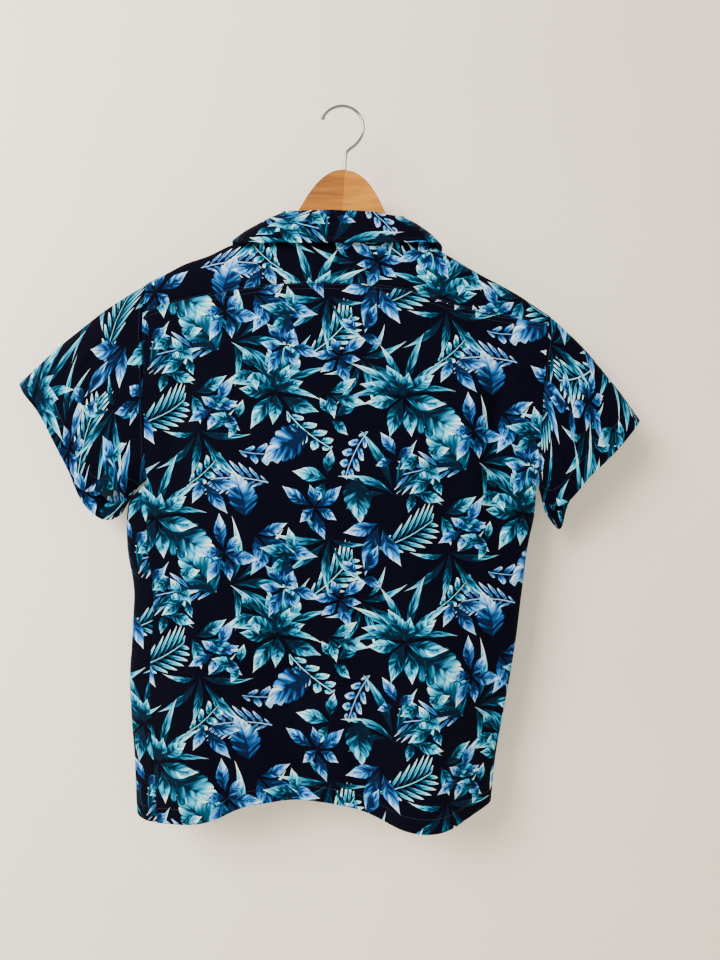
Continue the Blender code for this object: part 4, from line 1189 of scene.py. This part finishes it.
# %% Beech
def beech_group():
    """Grain: noise drawn out along x.  Flecks: noise a few millimetres long and a fraction
    of a millimetre high, cut off so that only its peaks show as dark dashes."""
    tree, given, result = new_group("beech grain", [("Place", "Vector"), ("Tone", "Float")],
                                    [("Colour", "Color"), ("Height", "Float")])
    stretched = put(tree, "ShaderNodeVectorMath", given["Place"], (9.0, 60.0, 95.0),
                    operation="MULTIPLY")
    grain = put(tree, "ShaderNodeTexNoise", stretched, None, 1.0, 4.0, 0.55, None, 0.8)
    dashes = put(tree, "ShaderNodeVectorMath", given["Place"], (260.0, 900.0, 1500.0),
                 operation="MULTIPLY")
    fleck = put(tree, "ShaderNodeTexNoise", dashes, None, 1.0, 1.0, 0.5)
    fleck = put(tree, "ShaderNodeMapRange", fleck, 0.62, 0.72, 0.0, 1.0)
    tone = maths(tree, "ADD", grain, given["Tone"])
    wood = ramp(tree, tone, ((0.25, ink(114, 62, 9)), (0.55, ink(166, 102, 20)),
                             (0.85, ink(198, 134, 38))))
    wood = blend_colours(tree, maths(tree, "MULTIPLY", fleck, 0.35), wood, ink(126, 74, 34))
    tree.links.new(wood, result[0])
    tree.links.new(maths(tree, "SUBTRACT", grain, maths(tree, "MULTIPLY", fleck, 0.3)), result[1])
    return tree


BEECH = beech_group()


def beech(name, tone):
    """Lacquered beech, a little lighter or darker by its tone."""
    made, tree, shader = new_finish(name, roughness=0.38)
    place = put(tree, "ShaderNodeTexCoord", out=3)
    colour = use_group(tree, BEECH, Place=place, Tone=tone)
    tree.links.new(colour, shader.inputs["Base Color"])
    shader.inputs["Specular IOR Level"].default_value = 0.25
    shader.inputs["Coat Weight"].default_value = 0.08
    shader.inputs["Coat Roughness"].default_value = 0.22
    bump(tree, colour.node.outputs["Height"], 0.0003, 0.35, shader)
    return made


# %% Chrome and resin
def chrome():
    """Chromed wire with faint smudges in its gloss."""
    made, tree, shader = new_finish("chromed wire", ink(138, 140, 147), metallic=1.0)
    place = put(tree, "ShaderNodeTexCoord", out=3)
    smudge = put(tree, "ShaderNodeTexNoise", place, None, 220.0, 3.0, 0.6)
    tree.links.new(put(tree, "ShaderNodeMapRange", smudge, 0.3, 0.8, 0.07, 0.26),
                   shader.inputs["Roughness"])
    return made


def resin():
    """Dark button resin, swirled by noise that is bent by noise."""
    made, tree, shader = new_finish("button resin", roughness=0.24)
    place = put(tree, "ShaderNodeTexCoord", out=3)
    swirl = put(tree, "ShaderNodeTexNoise", place, None, 420.0, 2.0, 0.5, None, 2.5)
    tree.links.new(ramp(tree, swirl, ((0.35, ink(16, 18, 30)), (0.7, ink(66, 72, 96)))),
                   shader.inputs["Base Color"])
    return made


CHROME, RESIN = chrome(), resin()

# %% [markdown]
# # Cutting the cloth
# Now each form gets its pattern, its creases and its hem. On the bolt the back starts at
# its yoke seam; each other piece is shifted by its own amount, because a cutter doesn't
# match a print like this at the seams.

# %% Creases of each piece
# u0, v0, u1, v1 on the pattern, width, height and bow of each stroke, in metres
BACK_CREASES = (
    (-0.20, 0.27, -0.13, 0.41, 0.008, -0.0016, 0.010), (-0.215, 0.31, -0.15, 0.37, 0.006, 0.0012, -0.006),
    (0.22, 0.29, 0.15, 0.44, 0.009, -0.0018, -0.012), (0.225, 0.33, 0.17, 0.40, 0.006, 0.0013, 0.005),
    (-0.06, 0.25, -0.10, 0.47, 0.010, 0.0014, 0.008), (0.03, 0.26, 0.05, 0.50, 0.012, -0.0013, -0.010),
    (0.10, 0.28, 0.09, 0.40, 0.007, -0.0012, 0.006), (-0.12, 0.40, -0.06, 0.55, 0.011, -0.0018, 0.012),
    (0.12, 0.48, 0.17, 0.66, 0.012, -0.0022, -0.014), (-0.01, 0.52, -0.03, 0.70, 0.010, 0.0016, 0.008),
    (-0.17, 0.55, -0.13, 0.78, 0.012, 0.0024, -0.012), (0.06, 0.58, 0.10, 0.80, 0.010, -0.0018, 0.010),
    (0.20, 0.60, 0.23, 0.82, 0.011, 0.0020, 0.012), (-0.08, 0.66, -0.06, 0.87, 0.009, -0.0020, -0.008),
    (0.02, 0.72, 0.00, 0.86, 0.008, 0.0014, 0.006), (0.15, 0.73, 0.14, 0.87, 0.009, -0.0016, -0.006),
    (-0.16, 0.80, -0.10, 0.84, 0.006, -0.0012, 0.004), (0.23, 0.49, 0.16, 0.53, 0.007, -0.0015, 0.008),
    (-0.19, 0.46, -0.13, 0.51, 0.007, -0.0014, -0.008), (0.196, 0.20, 0.208, 0.84, 0.017, -0.0042, 0.010),
    (-0.198, 0.24, -0.204, 0.82, 0.016, -0.0040, -0.009),
    (-0.168, 0.30, -0.178, 0.70, 0.013, 0.0022, 0.010),
)
FRONT_CREASES = (
    (0.05, 0.30, 0.14, 0.46, 0.010, -0.0018, 0.012), (0.20, 0.28, 0.15, 0.45, 0.009, 0.0016, -0.010),
    (0.22, 0.47, 0.12, 0.52, 0.008, -0.0020, 0.008), (0.04, 0.48, 0.08, 0.66, 0.011, 0.0018, -0.010),
    (0.12, 0.55, 0.10, 0.75, 0.010, -0.0020, 0.010), (0.18, 0.62, 0.21, 0.84, 0.011, 0.0022, -0.012),
    (0.06, 0.70, 0.04, 0.86, 0.009, -0.0016, 0.006), (0.14, 0.76, 0.16, 0.88, 0.008, 0.0014, 0.006),
)
SLEEVE_CREASES = (
    (0.03, 0.01, 0.06, 0.13, 0.007, 0.0018, 0.006), (0.09, 0.02, 0.10, 0.15, 0.008, -0.0020, -0.008),
    (0.14, 0.00, 0.15, 0.10, 0.006, 0.0014, 0.006), (-0.04, 0.02, -0.06, 0.14, 0.008, -0.0016, 0.008),
    (-0.10, 0.01, -0.11, 0.12, 0.007, 0.0018, -0.006), (-0.15, 0.03, -0.14, 0.11, 0.006, -0.0014, 0.004),
    (0.02, 0.10, 0.10, 0.14, 0.007, -0.0012, 0.006),
)
HEM_DEPTH, SLEEVE_HEM_DEPTH = 0.020, 0.024
HEM_STITCH = 0.0175           # the hem's stitch line, up from the edge
SLEEVE_HEM_STITCH = 0.022
EDGE_STITCH = 0.0015          # a line sewn close beside a seam
TWIN_STITCH = 0.0055          # the second line beside the yoke seam, from the first
FRONT_STITCH = 0.004
ARMHOLE_STITCH = 0.0045
COLLAR_STITCH = 0.0055
GATHER_REACH = 0.014          # gathers die away this far from a stitched edge
FADE_CELLS = 8                # cells from a seam over which the relief fades in


def seam_fade(rows, columns, low=False, sides=True):
    """1 inside the piece and 0 at its seams: always the top, and the low edge and the
    sides where they are seams too."""
    down, along = np.arange(rows), np.arange(columns)
    fade = np.clip(down / FADE_CELLS, 0, 1)[:, None] * np.ones(columns)
    if low:
        fade = fade * np.clip((rows - 1 - down) / FADE_CELLS, 0, 1)[:, None]
    if sides:
        fade = fade * np.clip(np.minimum(along, columns - 1 - along) / FADE_CELLS, 0, 1)
    return ease(fade)


def relief(points, flat, outward, strokes=(), edges=(), size=1.0, **seams):
    """Moves a grid along its normals by its creases, its ripple and the gathers beside the
    stitched edges, all fading to nothing at the seams where it meets another piece."""
    height = creases(flat, strokes) + ripple(flat, size)
    for edge, distance in edges:
        view = from_edge(points, edge)
        off = arc_along(view, 0, (0, 1, 2)) - distance
        gather = pucker(from_edge(flat, edge).sum(axis=2)) * np.exp(-(off / GATHER_REACH) ** 2)
        sideways, reverse = EDGES[edge]
        gather = gather[::-1] if reverse else gather
        height = height + (gather.T if sideways else gather)
    height = height * seam_fade(*height.shape, **seams)
    return points + grid_normals(points, outward) * height[..., None]


def join_part(piece, node=None):
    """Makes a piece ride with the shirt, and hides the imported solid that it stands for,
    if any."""
    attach(piece, "root")
    if node:
        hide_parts(node)


def finish_cloth(name, node, points, flat, outward, lines, wall=WALL, closed=False):
    """Makes a piece of cloth and its stitching."""
    piece = cloth(name, points, flat, outward, CLOTH, WRONG_SIDE, wall, closed)
    join_part(piece, node)
    label = node.removesuffix("_panel")
    stitching = stitch_rows(f"{label}_stitching", lines, THREAD_FINISH)
    join_part(stitching)


# %% Back
def make_back():
    """The back: its pattern is its arc across, and its drop down."""
    points = back_panel_grid()
    flat = pattern(arc_along(points, 1, (0, 1)), -points[..., 2],
                   SHOULDER_COLUMNS + MIDDLE_COLUMNS // 2)
    points = relief(points, flat, 1, BACK_CREASES, [("low", HEM_STITCH), ("top", EDGE_STITCH)])
    lines = stitch_lines(points, 1, ("low", HEM_STITCH), ("top", EDGE_STITCH),
                         ("top", EDGE_STITCH + TWIN_STITCH))
    hemmed, flat = turned_hem(points, flat, HEM_DEPTH, 1)
    finish_cloth("back", "back_panel", hemmed, flat, 1, lines)


make_back()


# %% Yoke
YOKE_SHIFT = (0.037, 0.118)


def make_yoke(points):
    """The yoke: its pattern is its arc across, and its arc over the shoulder upwards."""
    rise = arc_along(points, 0, (1, 2))
    flat = pattern(arc_along(points, 1, (0, 1)), -points[:1, :, 2] - rise,
                   SHOULDER_COLUMNS + NECK_STEPS, YOKE_SHIFT)
    points = relief(points, flat, 1, low=True)
    finish_cloth("shoulder_yoke", "yoke", points, flat, 1,
                 stitch_lines(points, 1, ("top", EDGE_STITCH)))


YOKE_POINTS = yoke_grid()
make_yoke(YOKE_POINTS)


# %% Fronts
FRONT_SHIFTS = {1: (0.061, 0.045), -1: (0.190, 0.021)}
FRONT_POINTS = {hand: front_grid(hand) for hand in (1, -1)}


def make_front(hand, label):
    """One front: its columns run from the buttoned edge to the side seam."""
    points = FRONT_POINTS[hand]
    flat = pattern(arc_along(points, 1, (0, 1)), -points[..., 2], 0)
    points = relief(points, flat, hand, FRONT_CREASES, [("low", HEM_STITCH)])
    lines = stitch_lines(points, hand, ("low", HEM_STITCH), ("start", FRONT_STITCH))
    hemmed, flat = turned_hem(points, flat + FRONT_SHIFTS[hand], HEM_DEPTH, hand)
    finish_cloth(f"front_{label}_cloth", f"front_{label}", hemmed, flat, hand, lines)


for hand, label in ((1, "left"), (-1, "right")):
    make_front(hand, label)


# %% Sleeves
SLEEVE_SHIFTS = {1: (0.110, 0.200), -1: (0.245, 0.090)}
SLEEVE_HALF, SLEEVE_ROWS = 74, 58


def make_sleeve(hand, label):
    """A sleeve: its ring is opened under the arm, where its seam is."""
    ring = sleeve_grid(hand, SLEEVE_HALF, SLEEVE_ROWS)
    points = np.concatenate([ring[:, SLEEVE_HALF:-1], ring[:, :SLEEVE_HALF + 1]], axis=1)
    down = arc_along(points, 0, (0, 1, 2))
    flat = pattern(arc_along(points, 1, (0, 1, 2)), down, SLEEVE_HALF)
    points = relief(points, flat, hand, SLEEVE_CREASES, [("low", SLEEVE_HEM_STITCH)])
    lines = stitch_lines(points, hand, ("low", SLEEVE_HEM_STITCH), ("top", ARMHOLE_STITCH))
    flat = flat * (-hand, 1) + SLEEVE_SHIFTS[hand]
    hemmed, flat = turned_hem(points, flat, SLEEVE_HEM_DEPTH, hand)
    finish_cloth(f"sleeve_{label}_cloth", f"sleeve_{label}", hemmed, flat, hand, lines,
                 closed=True)


for hand, label in ((1, "left"), (-1, "right")):
    make_sleeve(hand, label)


# %% Collar
COLLAR_WALL = 0.0014          # two layers and a stiffener
COLLAR_RIPPLE = 0.7           # its ripple is finer and lower than the body's
COLLAR_SHIFT = (0.052, 0.136)
COLLAR_STATIONS, COLLAR_ROWS = 90, 46


def make_collar():
    """The collar: its pattern is measured from the fold, along it and down both ways."""
    points = finer(collar_grid(YOKE_POINTS, FRONT_POINTS, COLLAR_STATIONS), COLLAR_ROWS)
    fold = COLLAR_ROWS // 3     # the row that lies along the collar's fold
    along = arc_along(points, 1, (0, 1, 2))[fold:fold + 1]
    across = arc_along(points, 0, (0, 1, 2))
    across = across - across[fold:fold + 1]
    flat = pattern(along + 0 * across, across, COLLAR_STATIONS - 1, COLLAR_SHIFT)
    points = relief(points, flat, -1, size=COLLAR_RIPPLE, sides=False)
    lines = stitch_lines(points, -1, *((edge, COLLAR_STITCH) for edge in ("low", "start", "end")))
    finish_cloth("camp_collar", "collar", points, flat, -1, lines, COLLAR_WALL)


make_collar()

# %% [markdown]
# # Hanger and hook
# The wooden halves are flat boards with eased edges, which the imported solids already
# have, so each is a copy of its solid. Only the glued joint down the middle is changed:
# the eased edges there are moved onto one plane, because glued wood has no groove. The
# hook is drawn again as a finer tube: a ring of points carried along the wire's middle
# line, with a small ball turned on its free end.

# %% Wood
WOOD_TILT = math.radians(2.9)          # the hanger hangs with its right arm low
WOOD_TOP = -0.0800            # height of the wood where the hook enters it
HANGER_CENTRE = -0.0036       # x of the hanger's middle at its own top
GLUED = 0.0026                # edges this near the middle aren't eased, but glued flush
GLUE = 0.00002                # each half ends this far from the joint's plane


def make_half(label, hand, tone):
    """A half of the hanger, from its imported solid.  Each point near the joint moves onto
    the joint's plane, which leans with the hanger, so that no gap or groove is left."""
    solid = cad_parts[label]
    mesh = solid.data.copy()
    mesh.transform(solid.matrix_world)
    points = np.empty(3 * len(mesh.vertices))
    mesh.vertices.foreach_get("co", points)
    points = points.reshape(-1, 3)
    lean = np.array([math.cos(WOOD_TILT), 0, math.sin(WOOD_TILT)])
    off = (points - (HANGER_CENTRE, 0, WOOD_TOP)) @ lean
    near = np.abs(off) < GLUED
    points += (near * (hand * GLUE - off))[:, None] * lean
    mesh.vertices.foreach_set("co", points.ravel())
    mesh.materials.clear()
    half = new_piece(f"{label}_beech", mesh, beech(f"{label} beech", tone))
    join_part(half, label)
    print(f"{half.name}: {int(near.sum())} points moved onto the joint")


make_half("hanger_left", 1, -0.10)
make_half("hanger_right", -1, 0.06)

# %% Hook
WIRE = 0.0036                  # hook wire diameter
HOOK_RADIUS = 0.027            # of the middle of the wire
HOOK_ENDS = (22, 212)          # turn of the hook's tip and of the end of its arc, degrees
HOOK_BEND = (0.016, 0.012)     # how stiffly the bend below leaves the arc and meets the stem
STEM_LENGTH = 0.017
STEM_GAP = 0.0004              # air between the stem and the wood
BALL = 0.0029                 # radius of the ball on the wire's free end
BALL_PLACE = 0.86             # its middle, along the wire, as a share of its radius
LEAST_RADIUS = 0.0002


def hook_line(steps=150):
    """The wire's middle line: an arc over the crown, an S bend, then the straight stem,
    read again at even steps."""
    middle = np.array([0.0, WIRE / 2 - HOOK_RADIUS])
    turn = np.radians(np.linspace(*HOOK_ENDS, 90))
    arc = middle + HOOK_RADIUS * np.stack([np.cos(turn), np.sin(turn)], axis=1)
    along = np.array([-math.sin(WOOD_TILT), math.cos(WOOD_TILT)])
    foot = np.array([HANGER_CENTRE, WOOD_TOP + STEM_GAP])
    start, end = arc[-1], foot + along * STEM_LENGTH
    leave = np.array([-math.sin(turn[-1]), math.cos(turn[-1])]) * HOOK_BEND[0]
    t = np.linspace(0, 1, 60)[1:, None]
    bend = ((1 - t) ** 3 * start + 3 * (1 - t) ** 2 * t * (start + leave)
            + 3 * (1 - t) * t ** 2 * (end + along * HOOK_BEND[1]) + t ** 3 * end)
    line = np.concatenate([arc, bend, foot[None]])
    line = np.stack([line[:, 0], 0 * line[:, 0], line[:, 1]], axis=1)
    return resample(line, steps)


def tube(line, radii, sides=20):
    """Rings of points round a line in the plane y = 0: at angle a a ring holds
    radius * (cos(a) sideways + sin(a) y)."""
    run = np.gradient(line, axis=0)
    run /= np.linalg.norm(run, axis=1, keepdims=True)
    sideways = np.stack([run[:, 2], 0 * run[:, 0], -run[:, 0]], axis=1)
    angle = np.linspace(0, 2 * math.pi, sides, endpoint=False)
    ring = (np.cos(angle)[None, :, None] * sideways[:, None]
            + np.sin(angle)[None, :, None] * np.array([0, 1.0, 0]))
    return line[:, None] + ring * np.asarray(radii)[:, None, None]


def rings_mesh(name, rings, finish):
    """A mesh from rings of points, closed at both ends by a point at the ring's middle."""
    count, sides = rings.shape[:2]
    verts = np.concatenate([rings.reshape(-1, 3), rings[0].mean(axis=0)[None],
                            rings[-1].mean(axis=0)[None]])
    k, r = np.meshgrid(np.arange(sides), np.arange(count - 1))
    k, r, after = k.ravel(), r.ravel(), (k.ravel() + 1) % sides
    quads = np.stack([r * sides + k, r * sides + after, (r + 1) * sides + after,
                      (r + 1) * sides + k], axis=1).tolist()
    near, far = count * sides, count * sides + 1
    first = np.arange(sides)
    last, step = (count - 1) * sides, (first + 1) % sides
    fans = np.stack([step, first, near + 0 * first], axis=1).tolist()
    fans += np.stack([last + first, last + step, far + 0 * first], axis=1).tolist()
    mesh = bpy.data.meshes.new(name)
    mesh.from_pydata(verts.tolist(), [], quads + fans)
    mesh.shade_smooth()
    return new_piece(name, mesh, finish)


def make_hook():
    """The tube's radius is the wire's, and at the free end the greater one of the ball."""
    line = hook_line()
    along = length_along(line)
    ball = np.sqrt(np.clip(BALL ** 2 - (along - BALL * BALL_PLACE) ** 2, 0, None))
    radii = np.maximum(ball, np.where(along > BALL, WIRE / 2, LEAST_RADIUS))
    piece = rings_mesh("wire_hook", tube(line, radii), CHROME)
    join_part(piece, "hanger_hook")
    print("hook: wire", round(1000 * along[-1]), "mm long")


make_hook()

# %% [markdown]
# # Buttons
# A shirt button is turned: a rounded rim round a shallow dish. Its section is spun round
# its axis, and the thread crosses its dish in two short bars, which hide its holes.

# %% Buttons
BUTTON_COUNT = 6
BUTTON_SIDES = 36
BUTTON_RADIUS = 0.0057
BUTTON_THICK = 0.0024
# radius and height over the back of the button, as shares of its radius and thickness
BUTTON_SECTION = ((0.02, 0.0), (0.80, 0.0), (0.95, 0.18), (1.0, 0.45), (0.97, 0.78), (0.88, 0.97),
                  (0.78, 0.98), (0.68, 0.80), (0.55, 0.62), (0.30, 0.56), (0.02, 0.56))
HOLE_OFFSET = 0.0011          # the bars lie this far from the button's middle
BAR_HALF = HOLE_OFFSET * 1.3  # half the length of a bar
BAR_DEPTH = 0.06              # how deep it lies under the middle, as a share of the thickness
BAR_TWIN = 0.0004             # each bar is two threads, this far apart
BAR_THREAD = 0.0003


def make_button(number):
    """The section spun about an axis along -y, with its thread."""
    low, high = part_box(f"button_{number}")
    centre = (np.array(low) + np.array(high)) / 2
    angle = np.linspace(0, 2 * math.pi, BUTTON_SIDES, endpoint=False)
    share = np.array(BUTTON_SECTION)
    around = np.stack([np.cos(angle), 0 * angle, np.sin(angle)], axis=1)
    rings = (centre + share[:, 0, None, None] * BUTTON_RADIUS * around[None]
             + (0.5 - share[:, 1])[:, None, None] * BUTTON_THICK * np.array([0, 1.0, 0]))
    piece = rings_mesh(f"shirt_button_{number}", rings, RESIN)
    join_part(piece, f"button_{number}")
    lines = []
    for aside in (-HOLE_OFFSET, -HOLE_OFFSET + BAR_TWIN, HOLE_OFFSET, HOLE_OFFSET + BAR_TWIN):
        ends = centre + np.array([[aside, -BAR_DEPTH * BUTTON_THICK, end * BAR_HALF]
                                  for end in (-1, 1)])
        lines.append((ends, np.array([[0, -1.0, 0]] * 2)))
    bars = stitch_rows(f"button_thread_{number}", lines, THREAD_FINISH, 2 * BAR_HALF, BAR_THREAD)
    join_part(bars)


for number in range(1, BUTTON_COUNT + 1):
    make_button(number)

# %% [markdown]
# # Room, light and camera
# The shirt hangs close to a pale wall. The key light is a large soft one, high on the
# left, so that the shirt's shadow falls softly on the wall to its right. The wall lets the
# views from its far side through: seen from behind it is clear.

# %% Wall and floor
WALL_Y = -0.062               # the wall's face, close in front of the shirt's front
FLOOR_Z = -1.55
WALL_HALF, WALL_TOP, FLOOR_HALF = 4, 2.5, 6


def backdrop(name, corners, finish):
    """One square face that belongs to the room and not to the shirt."""
    mesh = bpy.data.meshes.new(name)
    mesh.from_pydata(corners, [], [(0, 1, 2, 3)])
    plane = new_piece(name, mesh, finish)
    return plane


def wall_paint_and_light():
    """Pale paint, uneven in tone, with painted light: lighter and warmer to the left of the
    shirt's back, where the key light falls, and clear when seen from behind."""
    made, tree, shader = new_finish("wall paint and painted light", roughness=0.9)
    place = put(tree, "ShaderNodeTexCoord", out=3)
    cloud = put(tree, "ShaderNodeTexNoise", place, None, 1.6, 3.0, 0.5)
    # painted light: the tone rises towards +x, the left of the shirt's back, where the key light falls;
    # the cloud is the paint's own unevenness
    tone = maths(tree, "MULTIPLY_ADD", cloud, 0.5, dot(tree, place, (0.45, 0, 0)))
    tree.links.new(ramp(tree, tone, ((0.0, ink(226, 214, 196)), (0.55, ink(253, 243, 227)))),
                   shader.inputs["Base Color"])
    behind = put(tree, "ShaderNodeNewGeometry", out=6)
    clear = put(tree, "ShaderNodeBsdfTransparent")
    both = put(tree, "ShaderNodeMixShader", behind, shader.outputs[0], clear)
    tree.links.new(both, tree.nodes["Material Output"].inputs["Surface"])
    return made


wall = backdrop("wall", [(-WALL_HALF, WALL_Y, FLOOR_Z), (-WALL_HALF, WALL_Y, WALL_TOP),
                         (WALL_HALF, WALL_Y, WALL_TOP), (WALL_HALF, WALL_Y, FLOOR_Z)],
                wall_paint_and_light())
wall.visible_shadow = False
FLOOR, _, _ = new_finish("pale floor", ink(216, 211, 203), 0.8)
backdrop("floor", [(x * FLOOR_HALF, y * FLOOR_HALF, FLOOR_Z)
                   for x, y in ((-1, -1), (1, -1), (1, 1), (-1, 1))], FLOOR)


# %% Lights
def area_light(name, place, target, size, power, colour):
    """A square soft light that faces its target."""
    data = bpy.data.lights.new(name, "AREA")
    data.size = size
    data.energy = power
    data.color = colour
    lamp = bpy.data.objects.new(name, data)
    lamp.location = place
    lamp.rotation_euler = (Vector(target) - Vector(place)).to_track_quat("-Z", "Y").to_euler()
    bpy.context.scene.collection.objects.link(lamp)


MIDDLE = (0.0, 0.0, -0.50)
area_light("key", (1.7, 2.2, 0.9), MIDDLE, 1.6, 200, (1.0, 0.965, 0.92))
area_light("fill", (-2.0, 2.6, 0.2), MIDDLE, 2.4, 22, (1.0, 0.98, 0.95))
area_light("front key", (-1.6, -2.2, 0.8), MIDDLE, 1.8, 68, (1.0, 0.98, 0.95))
area_light("front fill", (1.8, -2.2, -0.4), MIDDLE, 2.2, 28, (0.96, 0.98, 1.0))

world = bpy.data.worlds.new("studio")
world.use_nodes = True
sky = world.node_tree.nodes["Background"].inputs
sky["Color"].default_value = (0.90, 0.88, 0.85, 1)
sky["Strength"].default_value = 0.80
bpy.context.scene.world = world

# %% Camera
lens = bpy.data.cameras.new("camera")
lens.lens = 27.0
lens.sensor_width = 36.0
camera = bpy.data.objects.new("camera", lens)
camera.location = (-0.0226, 0.905, -0.4682)
camera.rotation_euler = (math.pi / 2, 0, math.pi)
bpy.context.scene.collection.objects.link(camera)
bpy.context.scene.camera = camera
